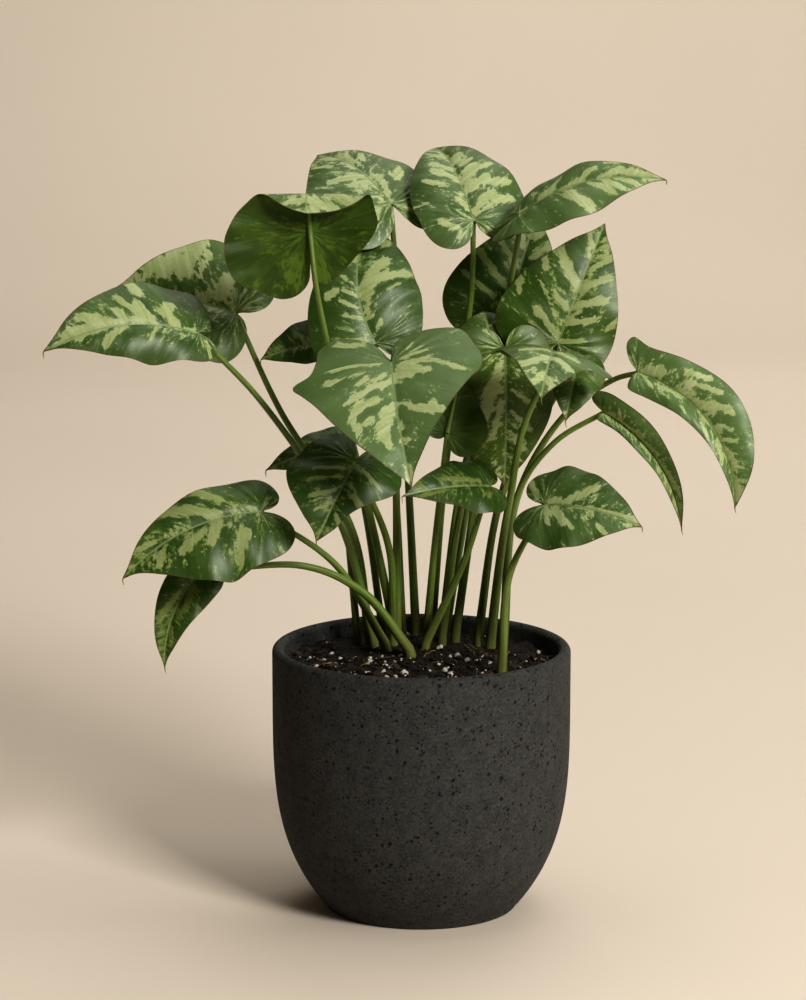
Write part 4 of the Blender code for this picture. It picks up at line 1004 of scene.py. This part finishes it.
def fleck_level(wire):
    """How much cream the blade shows: the marks of the leaf, torn into feathers along its side veins."""
    vein, spot = wire.stored("vein"), wire.stored("spot")
    feather = wire.mottle(vein * (1.2, 0.06, 1.0), 1.0, 2.0, 0.5)
    tear = wire.mottle(vein * (4.0, 0.18, 1.0), 1.0, 4.0, 0.7)
    jag = wire.mottle(spot * (1.0, 1.0, 0.0), 0.9, 2.0, 0.6)
    return wire.stored("cream", "Fac") + (feather - 0.5) * 1.3 + (tear - 0.5) * 2.0 + (jag - 0.5) * 0.3


def strands(wire):
    """Fine streaks along the side veins."""
    return wire.mottle(wire.stored("vein") * (6.0, 0.03, 1.0), 1.0, 2.0, 0.5)


def browned(wire, colour):
    """The colour with the blade's brown margin."""
    edge = 1 - wire.stored("spot").split(2).rise(0.15, 0.7)
    return (edge * 0.8).blend(colour, MARGIN_BROWN)


def let_light_through(wire, shader, colour, share):
    """Lets a share of the light through the blade, in one even colour."""
    glow = wire.node("ShaderNodeBsdfTranslucent", Color=colour)
    surface = Wire(wire.tree, shader.outputs[0])
    both = wire.node("ShaderNodeMixShader", Fac=share, i1=surface, i2=glow)
    fill(wire.tree.nodes["Material Output"], Surface=both)


def upper_green(wire, shade, level):
    """The green between the cream marks, paler beside them. The greyish greens are painted sheen, and the
    dark green that shade brings in is partly the leaf's own tone and partly painted shade.
    """
    clear_of_sheen = wire.stored("clear_of_sheen", "Fac")
    green = shade.rise(0.0, 1.0).blend(clear_of_sheen.blend(LEAF_SHEEN_GREEN, LEAF_FRESH), LEAF_DARK_AND_SHADE)
    return (level.rise(0.30, 0.50) * 0.55).blend(green, clear_of_sheen.blend(LEAF_PALE_SHEEN, LEAF_PALE_FRESH))


def specked(wire, flat, level, colour):
    """The colour with small cream specks, and dashes where the cream marks are near."""
    dash = wire.mottle(wire.stored("vein") * (7.0, 0.45, 1.0), 1.0, 3.0, 0.6).rise(0.60, 0.66)
    dash = dash * (level + 0.25).rise(0.2, 0.6)
    speck = wire.pits(flat, 0.32, 0.55, 0.22)
    return (speck * 0.6 + dash * 0.5).rise(0.0, 1.0).blend(colour, LEAF_CREAM)


def upper_finish():
    wire, shader, material = finish_named("leaf_upper_side")
    spot, tone_and_shade = wire.stored("spot"), wire.stored("tone_and_shade", "Fac")
    flat = spot * (1.0, 1.0, 0.0)
    level = fleck_level(wire)
    strand = strands(wire)
    cloud = wire.mottle(flat, 0.055, 3.0, 0.6)
    fine = wire.mottle(flat, 0.6, 3.0, 0.6)
    cream = (strand * 0.6 + fine * 0.4).rise(0.30, 0.65).blend(LEAF_LIME, LEAF_CREAM)
    # On darker leaves the cream is dulled: partly its own tone, partly painted shade.
    cream = (tone_and_shade.rise(0.45, 1.10) * 0.9).blend(cream, LEAF_DULL_AND_SHADE)
    mark = level.rise(0.50, 0.545)
    # Clouds of greyish and dark green spread the painted sheen and the painted shade over the blade in
    # patches.
    colour = upper_green(wire, tone_and_shade + (cloud - 0.5) * 1.2 + (strand - 0.5) * 0.7, level)
    colour = specked(wire, flat, level, mark.blend(colour, cream))
    midrib = 1 - abs(wire.stored("vein").split(1)).rise(0.3, 1.0)
    colour = browned(wire, (midrib * 0.8).blend(colour, VEIN_PALE))
    relief = strand * 0.5 + wire.mottle(spot, 1.4, 2.0, 0.5) * 0.3 + mark * 0.12
    fill(shader, Base_Color=colour, Roughness=0.38 + mark * 0.08 + cloud * 0.10, Coat_Weight=0.10,
         Coat_Roughness=0.32, Normal=relief.bump(0.22, 0.0006))
    let_light_through(wire, shader, LIGHT_ABOVE, 0.20)
    return material


def under_finish():
    wire, shader, material = finish_named("leaf_underside")
    spot = wire.stored("spot")
    cloud = wire.mottle(spot * (1.0, 1.0, 0.0), 0.06, 3.0, 0.6)
    strand = strands(wire)
    shade = (cloud - 0.5) * 1.2 + (strand - 0.5) * 0.8 + fleck_level(wire).rise(0.40, 0.62) * 0.7 + 0.3
    colour = browned(wire, shade.rise(0.0, 1.0).blend(UNDER_OLIVE, UNDER_BRIGHT))
    relief = strand * 0.8 + wire.mottle(spot, 1.4, 2.0, 0.5) * 0.3
    fill(shader, Base_Color=colour, Roughness=0.46, Normal=relief.bump(0.35, 0.0006))
    let_light_through(wire, shader, LIGHT_BELOW, 0.28)
    return material


def stalk_finish():
    """Green with olive streaks, and a little brown near the soil."""
    wire, shader, material = finish_named("leaf_stalk")
    stem = wire.stored("stem")
    streak = wire.mottle(stem * (0.03, 0.8, 5.0), 1.0, 3.0, 0.6)
    fleck = wire.mottle(stem * (0.35, 1.6, 5.0), 1.0, 3.0, 0.65)
    colour = (streak * 0.8 + fleck * 0.4 - 0.1).rise(0.30, 0.70).blend(STALK_OLIVE, STALK_GREEN)
    low = 1 - (stem.split(0) + (streak - 0.5) * 22).rise(4, 34)
    relief = streak * 0.8 + fleck * 0.4
    fill(shader, Base_Color=(low * 0.40).blend(colour, STALK_BROWN), Roughness=0.45 + low * 0.25,
         Normal=relief.bump(0.3, 0.0005))
    return material


leaf_finishes = [upper_finish(), under_finish(), stalk_finish()]
for seed, (name, leaf) in enumerate(LEAVES.items(), 1):
    piece = show(name.replace("leaf_", "") + "_leaf", leaf_mesh(name, leaf, seed), leaf_finishes)
    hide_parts(name)


# The studio: a warm beige paper sweep that runs back under the plant and rises behind it in one round bend,
# a key light high at the front right, and four weaker ones for the right side, the top, the wall and the
# back. The room round it looks pale, but lights the plant only weakly.
PAPER_BEIGE = (0.74, 0.66, 0.565)
PAPER_DULL = (0.72, 0.64, 0.545)
SWEEP_FRONT = -1.0
SWEEP_FLOOR = 2.2
SWEEP_BEND = 1.2
SWEEP_STEPS = 24
SWEEP_HEIGHT = 3.0
SWEEP_HALF_WIDTH = 1.0
ROOM_COLOUR = (1.0, 0.88, 0.70)
ROOM_GLOW = 0.08
ROOM_SEEN = 0.60
LAMP_WARM = (1.0, 0.975, 0.93)
LAMP_SOFT = (1.0, 0.98, 0.95)


def sweep_mesh():
    """Floor, round bend and wall, as one strip."""
    profile = [(SWEEP_FRONT, 0.0)]
    for a in np.linspace(0, math.pi / 2, SWEEP_STEPS):
        profile.append((SWEEP_FLOOR + SWEEP_BEND * math.sin(a), SWEEP_BEND - SWEEP_BEND * math.cos(a)))
    profile.append((SWEEP_FLOOR + SWEEP_BEND, SWEEP_HEIGHT))
    points = [(x, y, z) for y, z in profile for x in (-SWEEP_HALF_WIDTH, SWEEP_HALF_WIDTH)]
    faces = [(2 * k, 2 * k + 1, 2 * k + 3, 2 * k + 2) for k in range(len(profile) - 1)]
    mesh = bpy.data.meshes.new("paper_sweep")
    mesh.from_pydata(points, [], faces)
    mesh.polygons.foreach_set("use_smooth", [True] * len(faces))
    return mesh


def soft_light(name, place, aim, width, power, colour):
    lamp = bpy.data.lights.new(name, "AREA")
    lamp.size = width
    lamp.energy = power
    lamp.color = colour
    light = bpy.data.objects.new(name, lamp)
    light.location = place
    light.rotation_euler = (Vector(aim) - Vector(place)).to_track_quat("-Z", "Y").to_euler()
    bpy.context.scene.collection.objects.link(light)


wire, shader, paper = finish_named("beige_paper")
grain = wire.mottle(wire.node("ShaderNodeTexCoord", out="Object"), 2.2, 3.0, 0.5)
fill(shader, Base_Color=grain.rise(0.2, 0.8).blend(PAPER_DULL, PAPER_BEIGE), Roughness=0.95)
sweep = bpy.data.objects.new("paper_sweep", sweep_mesh())
sweep.data.materials.append(paper)
bpy.context.scene.collection.objects.link(sweep)

soft_light("key", (1.20, -1.85, 1.50), aim=(0, 0, 0.2), width=0.70, power=46.0, colour=LAMP_WARM)
soft_light("side", (2.2, -0.3, 0.50), aim=(0, 0, 0.2), width=0.9, power=9.0, colour=LAMP_WARM)
soft_light("overhead", (0.2, 0.4, 2.3), aim=(0, 1.0, 0.4), width=1.6, power=14.0, colour=LAMP_SOFT)
soft_light("wash", (0.5, 2.2, 2.4), aim=(0.1, 3.2, 0.3), width=1.8, power=21.0, colour=LAMP_SOFT)
soft_light("rear", (1.1, 1.9, 1.2), aim=(0, 0, 0.25), width=1.0, power=3.0, colour=LAMP_SOFT)
world = bpy.data.worlds.new("studio")
world.use_nodes = True
seen = Wire(world.node_tree).node("ShaderNodeLightPath", out="Is Camera Ray")
room_strength = seen * (ROOM_SEEN - ROOM_GLOW) + ROOM_GLOW
fill(world.node_tree.nodes["Background"], Color=ROOM_COLOUR, Strength=room_strength)
bpy.context.scene.world = world
